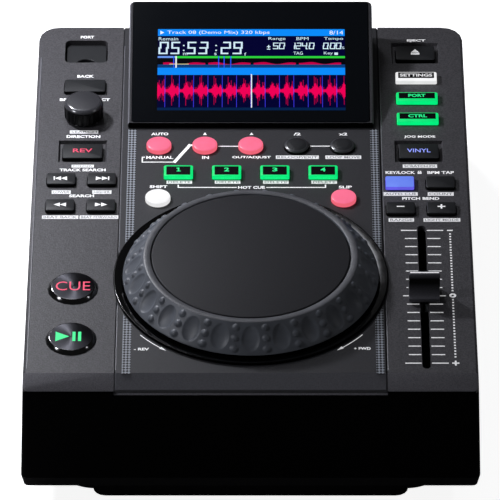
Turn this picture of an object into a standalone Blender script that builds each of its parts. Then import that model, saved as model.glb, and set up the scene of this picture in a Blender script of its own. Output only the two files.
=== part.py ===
"""A compact DJ media player: jog wheel, pitch fader, tilted screen and twenty-eight keys in a moulded case.

Metres, +Z up. X runs across the player, +Y towards its back, and Z = 0 is the surface it stands on.
Places along the deck are given from the deck's front edge, as a draughtsman would dimension them.
"""

import math

import bmesh
import bpy
from mathutils import Matrix, Vector

# Case
CASE_WIDTH = 0.2154
SIDE_PANEL_WIDTH = 0.0433
CASE_WALL = 0.0025
DECK_THICKNESS = 0.003
CASE_WALL_HEIGHT = 0.0515
DRAFT_SHARE = 0.035
FRONT_CORNER_RADIUS = 0.0025
REAR_CORNER_RADIUS = 0.0105
CHAMFER_LENGTH = 0.008
CHAMFER_DROP = 0.0046
EDGE_ROUND = 0.0012
RAIL_WIDTH = 0.0015
RAIL_DEPTH = 0.0025

# Base
FOOT_PROUD = 0.0027
TUB_DEPTH = 0.011
BASE_RIM_HEIGHT = 0.0062
BASE_WALL = 0.002
BASE_TUCK = 0.0011
TUB_SIDE_SETBACK = 0.032
TUB_WIDTH = CASE_WIDTH - 2 * TUB_SIDE_SETBACK
TUB_FRONT_SETBACK = 0.0046
TUB_REAR_SETBACK = 0.009
TUB_CORNER_RADIUS = 0.006
FOOT_DIAMETER = 0.042
FOOT_BOSS_MARGIN = 0.0005
FOOT_INSET = 0.0332
FOOT_SPACING = CASE_WIDTH - 2 * FOOT_INSET
FOOT_FRONT_PLACE = 0.025
FOOT_REAR_INSET = 0.033
FOOT_EDGE = 0.0008
BASE_VENT_LENGTH = 0.036
BASE_VENT_WIDTH = 0.003
BASE_VENT_STEP = 0.0075
BASE_VENT_COUNT = 7
BASE_VENT_LEAD = 0.0045
BOARD_POST_RADIUS = 0.0035

# Clearances
SEAT_GAP = 0.0003
KEY_GAP = 0.00035
PANEL_GAP = 0.0003
OVERRUN = 0.002

# Centre panel
PANEL_WIDTH = CASE_WIDTH - 2 * SIDE_PANEL_WIDTH
PANEL_THICKNESS = 0.0015
PANEL_EDGE = 0.0005

# Key columns, measured from the player's middle
COLUMN_INSET = 0.0243
COLUMN_PLACE = CASE_WIDTH / 2 - COLUMN_INSET
PAIR_STEP = 0.02
LOOP_STEP_SHARE = 0.177
LOOP_STEP = PANEL_WIDTH * LOOP_STEP_SHARE
HOT_CUE_STEP_SHARE = 0.1848
HOT_CUE_STEP = PANEL_WIDTH * HOT_CUE_STEP_SHARE

# Keys
KEY_TRAVEL = 0.0008
KEY_FLANGE_MARGIN = 0.0009
KEY_FLANGE_THICKNESS = 0.001
KEY_STEM_WIDTH = 0.0036
KEY_CORNER = 0.0009
KEY_EDGE = 0.0006
SMALL_KEY_WIDTH = 0.0141
SMALL_KEY_LENGTH = 0.0091
SMALL_KEY_PROUD = 0.0019
WIDE_KEY_WIDTH = 0.0206
WIDE_KEY_LENGTH = 0.0102
LAMP_KEY_WIDTH = 0.0208
LAMP_KEY_LENGTH = 0.0079
LAMP_KEY_PROUD = 0.0022
CUE_KEY_WIDTH = 0.0144
CUE_KEY_LENGTH = 0.0088
CUE_KEY_PROUD = 0.0024
BEZEL_KEY_WIDTH = 0.0198
BEZEL_KEY_LENGTH = 0.0116
BEZEL_KEY_PROUD = 0.0009
BEZEL_WIDTH = 0.024
BEZEL_LENGTH = 0.0177
BEZEL_DEPTH = 0.0016
BEZEL_KEY_LEAD = 0.0008
ROUND_KEY_DIAMETER = 0.0124
ROUND_KEY_PROUD = 0.0025
PLAY_KEY_DIAMETER = 0.0238
PLAY_KEY_PROUD = 0.0018
PLAY_KEY_EDGE = 0.0017
PLAY_KEY_TRAVEL = 0.0011

# Jog wheel
COLLAR_OVERHANG = 0.0039
COLLAR_DIAMETER = PANEL_WIDTH + COLLAR_OVERHANG
JOG_FRONT_MARGIN = 0.00525
JOG_PLACE = COLLAR_DIAMETER / 2 + JOG_FRONT_MARGIN
JOG_RISE = 0.0145
COLLAR_BAND = 0.00465
JOG_DIAMETER = COLLAR_DIAMETER - 2 * COLLAR_BAND
JOG_SKIRT_WIDTH = 0.0103
JOG_RIM_DIAMETER = JOG_DIAMETER - 2 * JOG_SKIRT_WIDTH
JOG_SKIRT_RISE = 0.0026
JOG_RING_WALL = 0.0024
JOG_RIM_WIDTH = 0.0034
TOUCH_DIAMETER = JOG_RIM_DIAMETER - 2 * JOG_RIM_WIDTH
TOUCH_THICKNESS = 0.002
TOUCH_EDGE = 0.0004
COLLAR_RISE = 0.0015
COLLAR_EDGE = 0.0012
COLLAR_TUCK = 0.0047
COLLAR_INNER_DIAMETER = JOG_DIAMETER - 2 * COLLAR_TUCK
COLLAR_FLANGE = 0.0051
COLLAR_SKIRT_DIAMETER = COLLAR_DIAMETER - 2 * COLLAR_FLANGE
COLLAR_SKIRT_WALL = 0.002
PLATTER_PLATE = 0.002
PLATTER_SKIRT_WALL = 0.002
PLATTER_HUB_DIAMETER = 0.018
CODE_RING_INSET = 0.008
CODE_RING_DIAMETER = TOUCH_DIAMETER - 2 * CODE_RING_INSET
CODE_RING_WALL = 0.002
CODE_RING_HEIGHT = 0.002
CODE_TOOTH_HEIGHT = 0.003
CODE_TEETH = 24
SHAFT_DIAMETER = 0.008
SHAFT_HEAD_DIAMETER = 0.011
SHAFT_HEAD_HEIGHT = 0.002
SHAFT_TAIL = 0.003
BUSH_WALL = 0.0025
BUSH_LENGTH = 0.012
BUSH_FLANGE_DIAMETER = 0.02
BUSH_FLANGE_THICKNESS = 0.0015
BRACKET_DEPTH = 0.013
BRACKET_SHEET = 0.0015
BRACKET_GAP = 0.001
BRACKET_DIAMETER = COLLAR_INNER_DIAMETER - 2 * BRACKET_GAP
BRACKET_FLANGE_WIDTH = 0.011
BRACKET_FLANGE_DIAMETER = BRACKET_DIAMETER + 2 * BRACKET_FLANGE_WIDTH
BOARD_JOG_MARGIN = 0.002

# Screen
SCREEN_TILT = math.radians(14.55)
POD_SIDE_INSET = 0.0031
POD_WIDTH = PANEL_WIDTH - 2 * POD_SIDE_INSET
POD_LENGTH = 0.08
POD_LIP = 0.00247
POD_CORNER = 0.003
POD_EDGE = 0.0007
POD_LEDGE = 0.0035
LENS_SIDE_INSET = 0.002
LENS_WIDTH = POD_WIDTH - 2 * LENS_SIDE_INSET
LENS_END_INSET = 0.0013
LENS_LENGTH = POD_LENGTH - 2 * LENS_END_INSET
LENS_THICKNESS = 0.0015
LENS_CORNER = 0.0012
LCD_SIDE_INSET = 0.00655
LCD_WIDTH = LENS_WIDTH - 2 * LCD_SIDE_INSET
LCD_END_INSETS = 0.0118
LCD_LENGTH = LENS_LENGTH - LCD_END_INSETS
LCD_THICKNESS = 0.004
LCD_PLACE = 0.0032
WINDOW_MARGIN = 0.0012

# Rows in the centre, from the deck's front edge: each is set behind the one before
SHIFT_MARGIN = 0.01094
SHIFT_ROW = JOG_PLACE + math.sqrt((COLLAR_DIAMETER / 2 + SHIFT_MARGIN) ** 2 - (2 * LOOP_STEP) ** 2)
HOT_CUE_ROW_STEP = 0.0207
HOT_CUE_ROW = SHIFT_ROW + HOT_CUE_ROW_STEP
LOOP_ROW_STEP = 0.0221
LOOP_ROW = HOT_CUE_ROW + LOOP_ROW_STEP
POD_STEP = 0.0156
POD_PLACE = LOOP_ROW + POD_STEP
POD_REAR_MARGIN = 0.00915
DECK_LENGTH = POD_PLACE + POD_LENGTH * math.cos(SCREEN_TILT) + POD_REAR_MARGIN

# Rows at the sides, set forward from the deck's rear edge
PORT_REAR_INSET = 0.0216
PORT_ROW = DECK_LENGTH - PORT_REAR_INSET
BACK_ROW_STEP = 0.0314
BACK_ROW = PORT_ROW - BACK_ROW_STEP
KNOB_ROW_STEP = 0.024
KNOB_ROW = BACK_ROW - KNOB_ROW_STEP
BEZEL_ROW_STEP = 0.0285
BEZEL_ROW = KNOB_ROW - BEZEL_ROW_STEP
TRACK_ROW_STEP = 0.0245
TRACK_ROW = BEZEL_ROW - TRACK_ROW_STEP
SEARCH_ROW_STEP = 0.0212
SEARCH_ROW = TRACK_ROW - SEARCH_ROW_STEP
TEMPO_ROW_STEP = 0.0271
TEMPO_ROW = BEZEL_ROW - TEMPO_ROW_STEP
BEND_ROW_STEP = 0.0208
BEND_ROW = TEMPO_ROW - BEND_ROW_STEP
EJECT_REAR_INSET = 0.023
EJECT_ROW = DECK_LENGTH - EJECT_REAR_INSET
SETTINGS_ROW_STEP = 0.0228
SETTINGS_ROW = EJECT_ROW - SETTINGS_ROW_STEP
SOURCE_ROW_STEP = 0.0172
SOURCE_ROW = SETTINGS_ROW - SOURCE_ROW_STEP
CONTROL_ROW_STEP = 0.0171
CONTROL_ROW = SOURCE_ROW - CONTROL_ROW_STEP
CUE_ROW = 0.0638
PLAY_ROW = 0.0252
TRANSPORT_INSET = 0.0222
TRANSPORT_PLACE = CASE_WIDTH / 2 - TRANSPORT_INSET
FOOT_REAR_PLACE = DECK_LENGTH - FOOT_REAR_INSET
BASE_VENT_PLACE = DECK_LENGTH / 2 - BASE_VENT_LEAD

# Key board
KEY_BOARD_THICKNESS = 0.0016
KEY_BOARD_DEPTH = 0.009
KEY_BOARD_SIDE_INSET = 0.0047
KEY_BOARD_WIDTH = CASE_WIDTH - 2 * KEY_BOARD_SIDE_INSET
KEY_BOARD_FRONT = 0.002
KEY_BOARD_REAR_INSET = 0.0075
KEY_BOARD_REAR = DECK_LENGTH - KEY_BOARD_REAR_INSET
SWITCH_WIDTH = 0.0062
SWITCH_HEIGHT = 0.0035
SWITCH_POST = 0.003
POST_RADIUS = 0.003
POST_PANEL_INSET = 0.0039
POST_SIDE_PLACE = PANEL_WIDTH / 2 - POST_PANEL_INSET
POST_FRONT_PLACE = 0.0012
POST_EDGE_INSET = 0.0045

# Grip ring relief: ovals with a column of three domes between each pair
GRIP_PITCH = 0.0148
GRIP_COUNT = round(math.pi * (JOG_DIAMETER - JOG_SKIRT_WIDTH) / GRIP_PITCH)
GRIP_OVAL_DEPTH = 0.0011
GRIP_OVAL_WIDTH = 0.008
GRIP_OVAL_LENGTH = 0.0122
GRIP_DOME_HEIGHT = 0.0009
GRIP_DOME_DIAMETER = 0.0035
GRIP_DOME_STEP = 0.0054
JOG_TURN_STEPS = 48

# Browse encoder
KNOB_DIAMETER = 0.0196
KNOB_HEIGHT = 0.0092
KNOB_LIFT = 0.0009
KNOB_TOP_CHAMFER = 0.0014
KNOB_FLUTES = 16
KNOB_FLUTE_DEPTH = 0.00045
KNOB_CAP = 0.002
KNOB_PUSH = 0.0005
ENCODER_WIDTH = 0.012
ENCODER_HEIGHT = 0.0062
ENCODER_FLOOR = 0.001
ENCODER_SHAFT_DIAMETER = 0.006
ENCODER_NECK_WALL = 0.001
ENCODER_PLUNGER_HEIGHT = 0.001

# Pitch fader
FADER_INSET = 0.0244
FADER_PLACE = CASE_WIDTH / 2 - FADER_INSET
FADER_SLOT_FRONT = 0.00325
FADER_SLOT_MARGIN = 0.01225
FADER_SLOT_LENGTH = BEND_ROW - FADER_SLOT_MARGIN - FADER_SLOT_FRONT
FADER_SLOT_WIDTH = 0.0041
FADER_SLOT_CENTRE = FADER_SLOT_FRONT + FADER_SLOT_LENGTH / 2
FADER_BODY_WIDTH = 0.0095
FADER_BODY_MARGIN = 0.004
FADER_BODY_HEIGHT = 0.0078
FADER_CHANNEL_WIDTH = 0.0052
FADER_CHANNEL_FLOOR = 0.0012
LEVER_THICKNESS = 0.0012
LEVER_LENGTH = 0.004
FADER_END_ROOM = 0.00305
FADER_TRAVEL = FADER_SLOT_LENGTH - LEVER_LENGTH - 2 * FADER_END_ROOM
CARRIAGE_WIDTH = 0.0044
CARRIAGE_LENGTH = 0.0065
CARRIAGE_HEIGHT = 0.0024
CAP_WIDTH = 0.0148
CAP_LENGTH = 0.0122
CAP_HEIGHT = 0.0135
CAP_LIFT = 0.0009
CAP_RIDGE = 0.0022
CAP_FOOT_HEIGHT = 0.0022
CAP_SOCKET_DEPTH = 0.006

# Memory port under its dust cap
PORT_WELL_WIDTH = 0.0217
PORT_WELL_LENGTH = 0.019
PORT_WELL_CORNER = 0.0028
PORT_WELL_DEPTH = 0.0056
PORT_WELL_WALL = 0.0015
PORT_CAP_GAP = 0.0007
PORT_CAP_THICKNESS = 0.0028
PORT_CAP_NOTCH = 0.0112
PORT_PLUG_WIDTH = 0.0115
PORT_PLUG_THICKNESS = 0.0018
PORT_PLUG_LENGTH = 0.003
PORT_SHELL_WIDTH = 0.0132
PORT_SHELL_THICKNESS = 0.0062
PORT_SHELL_WALL = 0.0004
PORT_SHELL_HEIGHT = 0.0052
PORT_TONGUE_WIDTH = 0.0108
PORT_TONGUE_THICKNESS = 0.0017
PORT_TONGUE_DROP = 0.001
PORT_FLOOR = 0.001
PORT_CAP_PULL = 0.015

# Main board and rear sockets
MAIN_BOARD_SIDE_INSET = 0.0147
MAIN_BOARD_WIDTH = CASE_WIDTH - 2 * MAIN_BOARD_SIDE_INSET
MAIN_BOARD_LENGTH = 0.11
MAIN_BOARD_THICKNESS = 0.0016
MAIN_BOARD_HEIGHT = 0.0065
MAIN_BOARD_REAR_INSET = 0.003
SOCKET_LINE = 0.0135
PHONO_INSET = 0.0457
PHONO_PLACE = CASE_WIDTH / 2 - PHONO_INSET
PHONO_STEP = 0.0145
PHONO_BLOCK_WIDTH = 0.0275
PHONO_BLOCK_LENGTH = 0.011
PHONO_BLOCK_HEIGHT = 0.0225
PHONO_BARREL_DIAMETER = 0.0083
PHONO_BARREL_LENGTH = 0.0095
PHONO_PIN_DIAMETER = 0.0036
PHONO_BORE_DEPTH = 0.0085
DATA_PLACE = 0.021
DATA_WIDTH = 0.012
DATA_HEIGHT = 0.011
DATA_LENGTH = 0.0165
DATA_WALL = 0.0006
DATA_TONGUE_WIDTH = 0.0056
DATA_TONGUE_HEIGHT = 0.0032
DATA_DEPTH = 0.009
DC_PLACE = -0.036
DC_WIDTH = 0.009
DC_HEIGHT = 0.011
DC_LENGTH = 0.0145
DC_BORE_DIAMETER = 0.0064
DC_PIN_DIAMETER = 0.0021
DC_BORE_DEPTH = 0.01
POWER_INSET = 0.0367
POWER_PLACE = POWER_INSET - CASE_WIDTH / 2
POWER_KEY_WIDTH = 0.0095
POWER_KEY_PROUD = 0.004
POWER_KEY_TRAVEL = 0.0025
POWER_KEY_EDGE = 0.0007
POWER_STEM_WIDTH = 0.005
POWER_STEM_LENGTH = 0.006
POWER_SWITCH_WIDTH = 0.0085
POWER_SWITCH_LENGTH = 0.012

# Turned and rounded shapes
ROUND_STEPS = 20
SMALL_ROUND_STEPS = 16
CORNER_STEPS = 4

# Places worked out from the sizes above
TUB_BOTTOM_Z = FOOT_PROUD
RIM_BOTTOM_Z = TUB_BOTTOM_Z + TUB_DEPTH
SEAM_Z = RIM_BOTTOM_Z + BASE_RIM_HEIGHT
CHAMFER_Z = SEAM_Z + CASE_WALL_HEIGHT
DECK_Z = CHAMFER_Z + CHAMFER_DROP
UNDER_DECK_Z = DECK_Z - DECK_THICKNESS
SEAM_FLARE = DRAFT_SHARE * (DECK_Z - SEAM_Z)
REAR_PROUD = max(PHONO_BARREL_LENGTH, POWER_KEY_PROUD)
OVERALL_LENGTH = SEAM_FLARE + CHAMFER_LENGTH + DECK_LENGTH + SEAM_FLARE
PHONO_LINE_Z = SEAM_Z + SOCKET_LINE


def rear_flare(z):
    """How far the case wall stands outside the deck's outline at a height, from the draft of the mould."""
    return DRAFT_SHARE * (DECK_Z - z)


REAR_REACH = rear_flare(PHONO_LINE_Z) + REAR_PROUD
DECK_FRONT_Y = (SEAM_FLARE + CHAMFER_LENGTH - DECK_LENGTH - REAR_REACH) / 2
DECK_REAR_Y = DECK_FRONT_Y + DECK_LENGTH
CASE_FRONT_Y = DECK_FRONT_Y - CHAMFER_LENGTH
JOG_Y = DECK_FRONT_Y + JOG_PLACE
KEY_BOARD_TOP_Z = UNDER_DECK_Z - KEY_BOARD_DEPTH
MAIN_BOARD_Z = SEAM_Z + MAIN_BOARD_HEIGHT - MAIN_BOARD_THICKNESS
MAIN_BOARD_TOP_Z = MAIN_BOARD_Z + MAIN_BOARD_THICKNESS


def deck_y(place):
    """The Y of a place given from the deck's front edge."""
    return DECK_FRONT_Y + place


def clear_scene():
    for obj in list(bpy.data.objects):
        bpy.data.objects.remove(obj, do_unlink=True)


def plastic(name, colour, roughness, metallic=0.0):
    material = bpy.data.materials.new(name)
    material.use_nodes = True
    shader = material.node_tree.nodes["Principled BSDF"]
    shader.inputs["Base Color"].default_value = (*colour, 1)
    shader.inputs["Roughness"].default_value = roughness
    shader.inputs["Metallic"].default_value = metallic
    return material


def make_materials():
    return {
        "case": plastic("moulded charcoal ABS", (0.055, 0.055, 0.058), 0.55),
        "panel": plastic("printed charcoal panel", (0.045, 0.045, 0.048), 0.5),
        "black": plastic("moulded black ABS", (0.01, 0.01, 0.011), 0.45),
        "gloss": plastic("gloss black plastic", (0.006, 0.006, 0.008), 0.12),
        "key": plastic("black key rubber", (0.025, 0.025, 0.028), 0.45),
        "red": plastic("red lit key", (0.95, 0.2, 0.32), 0.4),
        "white": plastic("white lit key", (0.9, 0.9, 0.9), 0.4),
        "green": plastic("green lit key", (0.02, 0.8, 0.3), 0.4),
        "blue": plastic("blue lit key", (0.14, 0.28, 1.0), 0.4),
        "rubber": plastic("grey grip rubber", (0.06, 0.065, 0.075), 0.55),
        "foot": plastic("black foot rubber", (0.012, 0.012, 0.012), 0.8),
        "steel": plastic("zinc-plated steel", (0.55, 0.56, 0.58), 0.35, 1.0),
        "brass": plastic("sintered bronze", (0.55, 0.38, 0.18), 0.45, 1.0),
        "board": plastic("green circuit board", (0.01, 0.12, 0.05), 0.5),
    }


# Outlines: lists of (x, y) points, anticlockwise seen from +Z

def rectangle(x, y, width, length):
    half_w, half_l = width / 2, length / 2
    return [
        (x - half_w, y - half_l),
        (x + half_w, y - half_l),
        (x + half_w, y + half_l),
        (x - half_w, y + half_l),
    ]


def rounded(x, y, width, length, radii, steps=CORNER_STEPS):
    """A rectangle with a radius for each corner: front right, rear right, rear left, front left."""
    points = []
    corners = ((1, -1, -90), (1, 1, 0), (-1, 1, 90), (-1, -1, 180))
    for (side, end, start), radius in zip(corners, radii):
        centre_x = x + side * (width / 2 - radius)
        centre_y = y + end * (length / 2 - radius)
        for step in range(steps + 1):
            angle = math.radians(start + 90 * step / steps)
            points.append((centre_x + radius * math.cos(angle), centre_y + radius * math.sin(angle)))
    return points


def circle(x, y, diameter, steps=ROUND_STEPS):
    turn = math.tau / steps
    return [
        (x + diameter / 2 * math.cos(turn * step), y + diameter / 2 * math.sin(turn * step))
        for step in range(steps)
    ]


def slot_outline(x, y, width, length, steps=CORNER_STEPS):
    """A slot along Y with round ends."""
    return rounded(x, y, width, length, [width / 2 * 0.999] * 4, steps)


# Solids in a bmesh

def loop_at(bm, outline, z):
    return [bm.verts.new((x, y, z)) for x, y in outline]


def stack(bm, loops):
    """A closed solid through loops of equal count, each a list of points, lowest first."""
    rings = [[bm.verts.new(point) for point in loop] for loop in loops]
    count = len(rings[0])
    for low, high in zip(rings, rings[1:]):
        for i in range(count):
            j = (i + 1) % count
            bm.faces.new((low[i], low[j], high[j], high[i]))
    bm.faces.new(list(reversed(rings[0])))
    bm.faces.new(rings[-1])
    return rings


def layers(outlines_and_heights):
    return [[(x, y, z) for x, y in outline] for outline, z in outlines_and_heights]


def prism(bm, outline, low, high):
    return stack(bm, layers([(outline, low), (outline, high)]))


def block(bm, x, y, width, length, low, high):
    return prism(bm, rectangle(x, y, width, length), low, high)


def cylinder_y(bm, x, z, diameter, front, rear, steps=SMALL_ROUND_STEPS):
    """A round bar along Y."""
    ring = circle(0, 0, diameter, steps)
    loops = [[(x + a, y, z + b) for a, b in reversed(ring)] for y in (front, rear)]
    return stack(bm, loops)


def turned(bm, profile, steps, centre=(0.0, 0.0)):
    """A closed ring or a solid of revolution about a vertical axis, from (radius, z) points run round its section."""
    verts = [bm.verts.new((radius, 0, z)) for radius, z in profile]
    edges = [bm.edges.new(pair) for pair in zip(verts, verts[1:] + verts[:1])]
    bmesh.ops.spin(
        bm, geom=verts + edges, axis=(0, 0, 1), cent=(0, 0, 0), angle=math.tau, steps=steps, use_merge=True
    )
    bmesh.ops.remove_doubles(bm, verts=bm.verts, dist=SEAT_GAP / 100)
    loose = [face for face in bm.faces if face.calc_area() < SEAT_GAP * SEAT_GAP / 10000]
    bmesh.ops.delete(bm, geom=loose, context="FACES_ONLY")
    bmesh.ops.translate(bm, vec=(*centre, 0), verts=bm.verts)
    bmesh.ops.recalc_face_normals(bm, faces=bm.faces)


def finish(name, bm, material, smooth_degrees=35):
    mesh = bpy.data.meshes.new(name)
    bm.to_mesh(mesh)
    bm.free()
    if material is not None:
        mesh.materials.append(material)
    mesh.shade_smooth()
    mesh.set_sharp_from_angle(angle=math.radians(smooth_degrees))
    obj = bpy.data.objects.new(name, mesh)
    bpy.context.scene.collection.objects.link(obj)
    return obj


def pivoted(obj, pivot):
    """Puts a moving piece's origin on its joint."""
    obj.data.transform(Matrix.Translation(-Vector(pivot)))
    obj.location = pivot
    return obj


def combine(obj, helper_name, bm, operation):
    """Cuts or joins a hidden helper solid."""
    helper = finish(helper_name, bm, None)
    helper.hide_render = True
    helper.display_type = "WIRE"
    modifier = obj.modifiers.new(helper_name, "BOOLEAN")
    modifier.operation = operation
    modifier.solver = "EXACT"
    modifier.object = helper
    return obj


def cut(obj, helper_name, bm):
    return combine(obj, helper_name, bm, "DIFFERENCE")


def join(obj, helper_name, bm):
    return combine(obj, helper_name, bm, "UNION")


# The keys: name, shape, x, place along the deck, and the family that gives its sizes

def key_table():
    left, right = -COLUMN_PLACE, COLUMN_PLACE
    half_pair = PAIR_STEP / 2
    keys = [
        ("back_key", "wide", left, BACK_ROW, "key"),
        ("reverse_key", "bezel", left, BEZEL_ROW - BEZEL_KEY_LEAD, "key"),
        ("track_previous_key", "small", left - half_pair, TRACK_ROW, "key"),
        ("track_next_key", "small", left + half_pair, TRACK_ROW, "key"),
        ("search_back_key", "small", left - half_pair, SEARCH_ROW, "key"),
        ("search_forward_key", "small", left + half_pair, SEARCH_ROW, "key"),
        ("cue_key", "transport", -TRANSPORT_PLACE, CUE_ROW, "gloss"),
        ("play_pause_key", "transport", -TRANSPORT_PLACE, PLAY_ROW, "gloss"),
        ("shift_key", "round", -2 * LOOP_STEP, SHIFT_ROW, "white"),
        ("slip_key", "round", 2 * LOOP_STEP, SHIFT_ROW, "red"),
        ("eject_key", "bezel", right, EJECT_ROW - BEZEL_KEY_LEAD, "key"),
        ("settings_key", "lamp", right, SETTINGS_ROW, "white"),
        ("media_source_key", "lamp", right, SOURCE_ROW, "green"),
        ("control_source_key", "lamp", right, CONTROL_ROW, "green"),
        ("jog_mode_key", "bezel", right, BEZEL_ROW - BEZEL_KEY_LEAD, "key"),
        ("key_lock_key", "small", right - half_pair, TEMPO_ROW, "blue"),
        ("beat_tap_key", "small", right + half_pair, TEMPO_ROW, "key"),
        ("pitch_down_key", "small", right - half_pair, BEND_ROW, "key"),
        ("pitch_up_key", "small", right + half_pair, BEND_ROW, "key"),
    ]
    loop_names = ("loop_auto_key", "loop_in_key", "loop_out_key", "loop_halve_key", "loop_double_key")
    for index, name in enumerate(loop_names):
        keys.append((name, "round", (index - 2) * LOOP_STEP, LOOP_ROW, "red" if index < 3 else "key"))
    for index in range(4):
        keys.append((f"hot_cue_{index + 1}_key", "cue", (index - 1.5) * HOT_CUE_STEP, HOT_CUE_ROW, "green"))
    return keys


# Family: width, length, height over the deck, edge, travel
KEY_FAMILIES = {
    "small": (SMALL_KEY_WIDTH, SMALL_KEY_LENGTH, SMALL_KEY_PROUD, KEY_EDGE, KEY_TRAVEL),
    "wide": (WIDE_KEY_WIDTH, WIDE_KEY_LENGTH, SMALL_KEY_PROUD, KEY_EDGE, KEY_TRAVEL),
    "lamp": (LAMP_KEY_WIDTH, LAMP_KEY_LENGTH, LAMP_KEY_PROUD, KEY_EDGE, KEY_TRAVEL),
    "cue": (CUE_KEY_WIDTH, CUE_KEY_LENGTH, CUE_KEY_PROUD, KEY_EDGE, KEY_TRAVEL),
    "bezel": (BEZEL_KEY_WIDTH, BEZEL_KEY_LENGTH, BEZEL_KEY_PROUD, KEY_EDGE, KEY_TRAVEL),
    "round": (ROUND_KEY_DIAMETER, ROUND_KEY_DIAMETER, ROUND_KEY_PROUD, KEY_EDGE, KEY_TRAVEL),
    "transport": (PLAY_KEY_DIAMETER, PLAY_KEY_DIAMETER, PLAY_KEY_PROUD, PLAY_KEY_EDGE, PLAY_KEY_TRAVEL),
}
ROUND_FAMILIES = {"round": SMALL_ROUND_STEPS, "transport": ROUND_STEPS}


def key_outline(family, x, y, grow):
    """The plan of a key, or of its hole or flange, grown all round."""
    width, length = KEY_FAMILIES[family][:2]
    if family in ROUND_FAMILIES:
        return circle(x, y, width + 2 * grow, ROUND_FAMILIES[family])
    radius = max(KEY_CORNER + grow, KEY_CORNER / 2)
    return rounded(x, y, width + 2 * grow, length + 2 * grow, [radius] * 4, 1)


def stem_outline(family, x, y):
    """A stem with as many points as the key's own plan."""
    if family in ROUND_FAMILIES:
        return circle(x, y, KEY_STEM_WIDTH, ROUND_FAMILIES[family])
    return rounded(x, y, KEY_STEM_WIDTH, KEY_STEM_WIDTH, [KEY_STEM_WIDTH / 4] * 4, 1)


def make_key(name, family, x, y, material):
    """A cap with a rounded rim, a flange that the deck holds down, and a stem that ends over its switch."""
    width, length, proud, edge, travel = KEY_FAMILIES[family]
    top = DECK_Z + proud
    flange_top = UNDER_DECK_Z - SEAT_GAP
    flange_low = flange_top - KEY_FLANGE_THICKNESS
    stem_low = KEY_BOARD_TOP_Z + SWITCH_HEIGHT + travel + SEAT_GAP
    bm = bmesh.new()
    stack(
        bm,
        layers(
            [
                (stem_outline(family, x, y), stem_low),
                (stem_outline(family, x, y), flange_low),
                (key_outline(family, x, y, KEY_FLANGE_MARGIN), flange_low),
                (key_outline(family, x, y, KEY_FLANGE_MARGIN), flange_top),
                (key_outline(family, x, y, 0), flange_top),
                (key_outline(family, x, y, 0), top - edge / 2),
                (key_outline(family, x, y, -edge), top),
            ]
        ),
    )
    key = finish(name, bm, material)
    return pivoted(key, (x, y, DECK_Z))


def make_keys(materials):
    for name, family, x, place, material in key_table():
        make_key(name, family, x, deck_y(place), materials[material])


# The case

def case_outline(z, inset):
    """The case's plan at a height, which grows downwards with the draft."""
    grow = rear_flare(z) - inset
    length = CHAMFER_LENGTH + DECK_LENGTH + 2 * grow
    middle = (CASE_FRONT_Y + DECK_REAR_Y) / 2
    front = max(FRONT_CORNER_RADIUS - inset, FRONT_CORNER_RADIUS / 3)
    rear = REAR_CORNER_RADIUS - inset
    return rounded(0, middle, CASE_WIDTH + 2 * grow, length, [front, rear, rear, front])


def case_block(low, high, inset, sink):
    """The case's outer form, or its hollow: drafted walls and the sloping front of the deck, sunk by sink."""
    bm = bmesh.new()
    stack(bm, layers([(case_outline(low, inset), low), (case_outline(high, inset), high)]))
    slope = Vector((0, -CHAMFER_DROP, CHAMFER_LENGTH)).normalized()
    on_slope = Vector((0, DECK_FRONT_Y, DECK_Z)) - slope * sink
    kept = bmesh.ops.bisect_plane(
        bm, geom=bm.verts[:] + bm.edges[:] + bm.faces[:], plane_co=on_slope, plane_no=slope, clear_outer=True
    )
    edges = [item for item in kept["geom_cut"] if isinstance(item, bmesh.types.BMEdge)]
    bmesh.ops.contextual_create(bm, geom=edges)
    bmesh.ops.recalc_face_normals(bm, faces=bm.faces)
    return bm


def round_deck_edge(bm):
    """Rounds the edges where the deck and its sloping front meet the walls."""
    rim = []
    for edge in bm.edges:
        if len(edge.link_faces) != 2:
            continue
        ups = [abs(face.normal.z) > 0.5 for face in edge.link_faces]
        low = min(vert.co.z for vert in edge.verts)
        if ups[0] != ups[1] and low > (CHAMFER_Z + SEAM_Z) / 2:
            rim.append(edge)
    bmesh.ops.bevel(bm, geom=rim, offset=EDGE_ROUND, offset_type="OFFSET", segments=2, profile=0.5, affect="EDGES", material=-1)


def deck_section(low, high, front, rear):
    """A strip that follows the deck and its sloping front in side view, between two depths below the deck."""
    ratio = CHAMFER_DROP / CHAMFER_LENGTH
    slant = math.hypot(1, ratio)
    knee = (slant - 1) / ratio

    def fall(depth, y):
        line = DECK_Z - depth * slant - ratio * (DECK_FRONT_Y - y)
        return min(line, DECK_Z - depth)

    return [
        (front, fall(low, front)),
        (DECK_FRONT_Y + knee * low, DECK_Z - low),
        (rear, DECK_Z - low),
        (rear, DECK_Z - high),
        (DECK_FRONT_Y + knee * high, DECK_Z - high),
        (front, fall(high, front)),
    ]


def swept_x(bm, section, half_width):
    """A (y, z) section swept across the player."""
    loops = [[(x, y, z) for y, z in section] for x in (-half_width, half_width)]
    stack(bm, loops)
    bmesh.ops.recalc_face_normals(bm, faces=bm.faces)


def post_places():
    """Where the deck's posts carry the key board."""
    side = KEY_BOARD_WIDTH / 2 - POST_EDGE_INSET
    inner_front = KEY_BOARD_FRONT + POST_EDGE_INSET - POST_FRONT_PLACE
    rear = KEY_BOARD_REAR - POST_EDGE_INSET
    middle = (BEZEL_ROW + SETTINGS_ROW) / 2
    row_between = (SEARCH_ROW + CUE_ROW) / 2
    return [
        (sign * x, y)
        for sign in (-1, 1)
        for x, y in ((side, inner_front), (POST_SIDE_PLACE, rear), (side, row_between), (side, middle))
    ]


def key_holes(bm, low, high, only=None):
    """One hole for each key, and the slot and neck holes of the fader and the browse knob."""
    for _, family, x, place, _ in key_table():
        if only is None or only(x):
            prism(bm, key_outline(family, x, deck_y(place), KEY_GAP), low, high)


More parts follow.
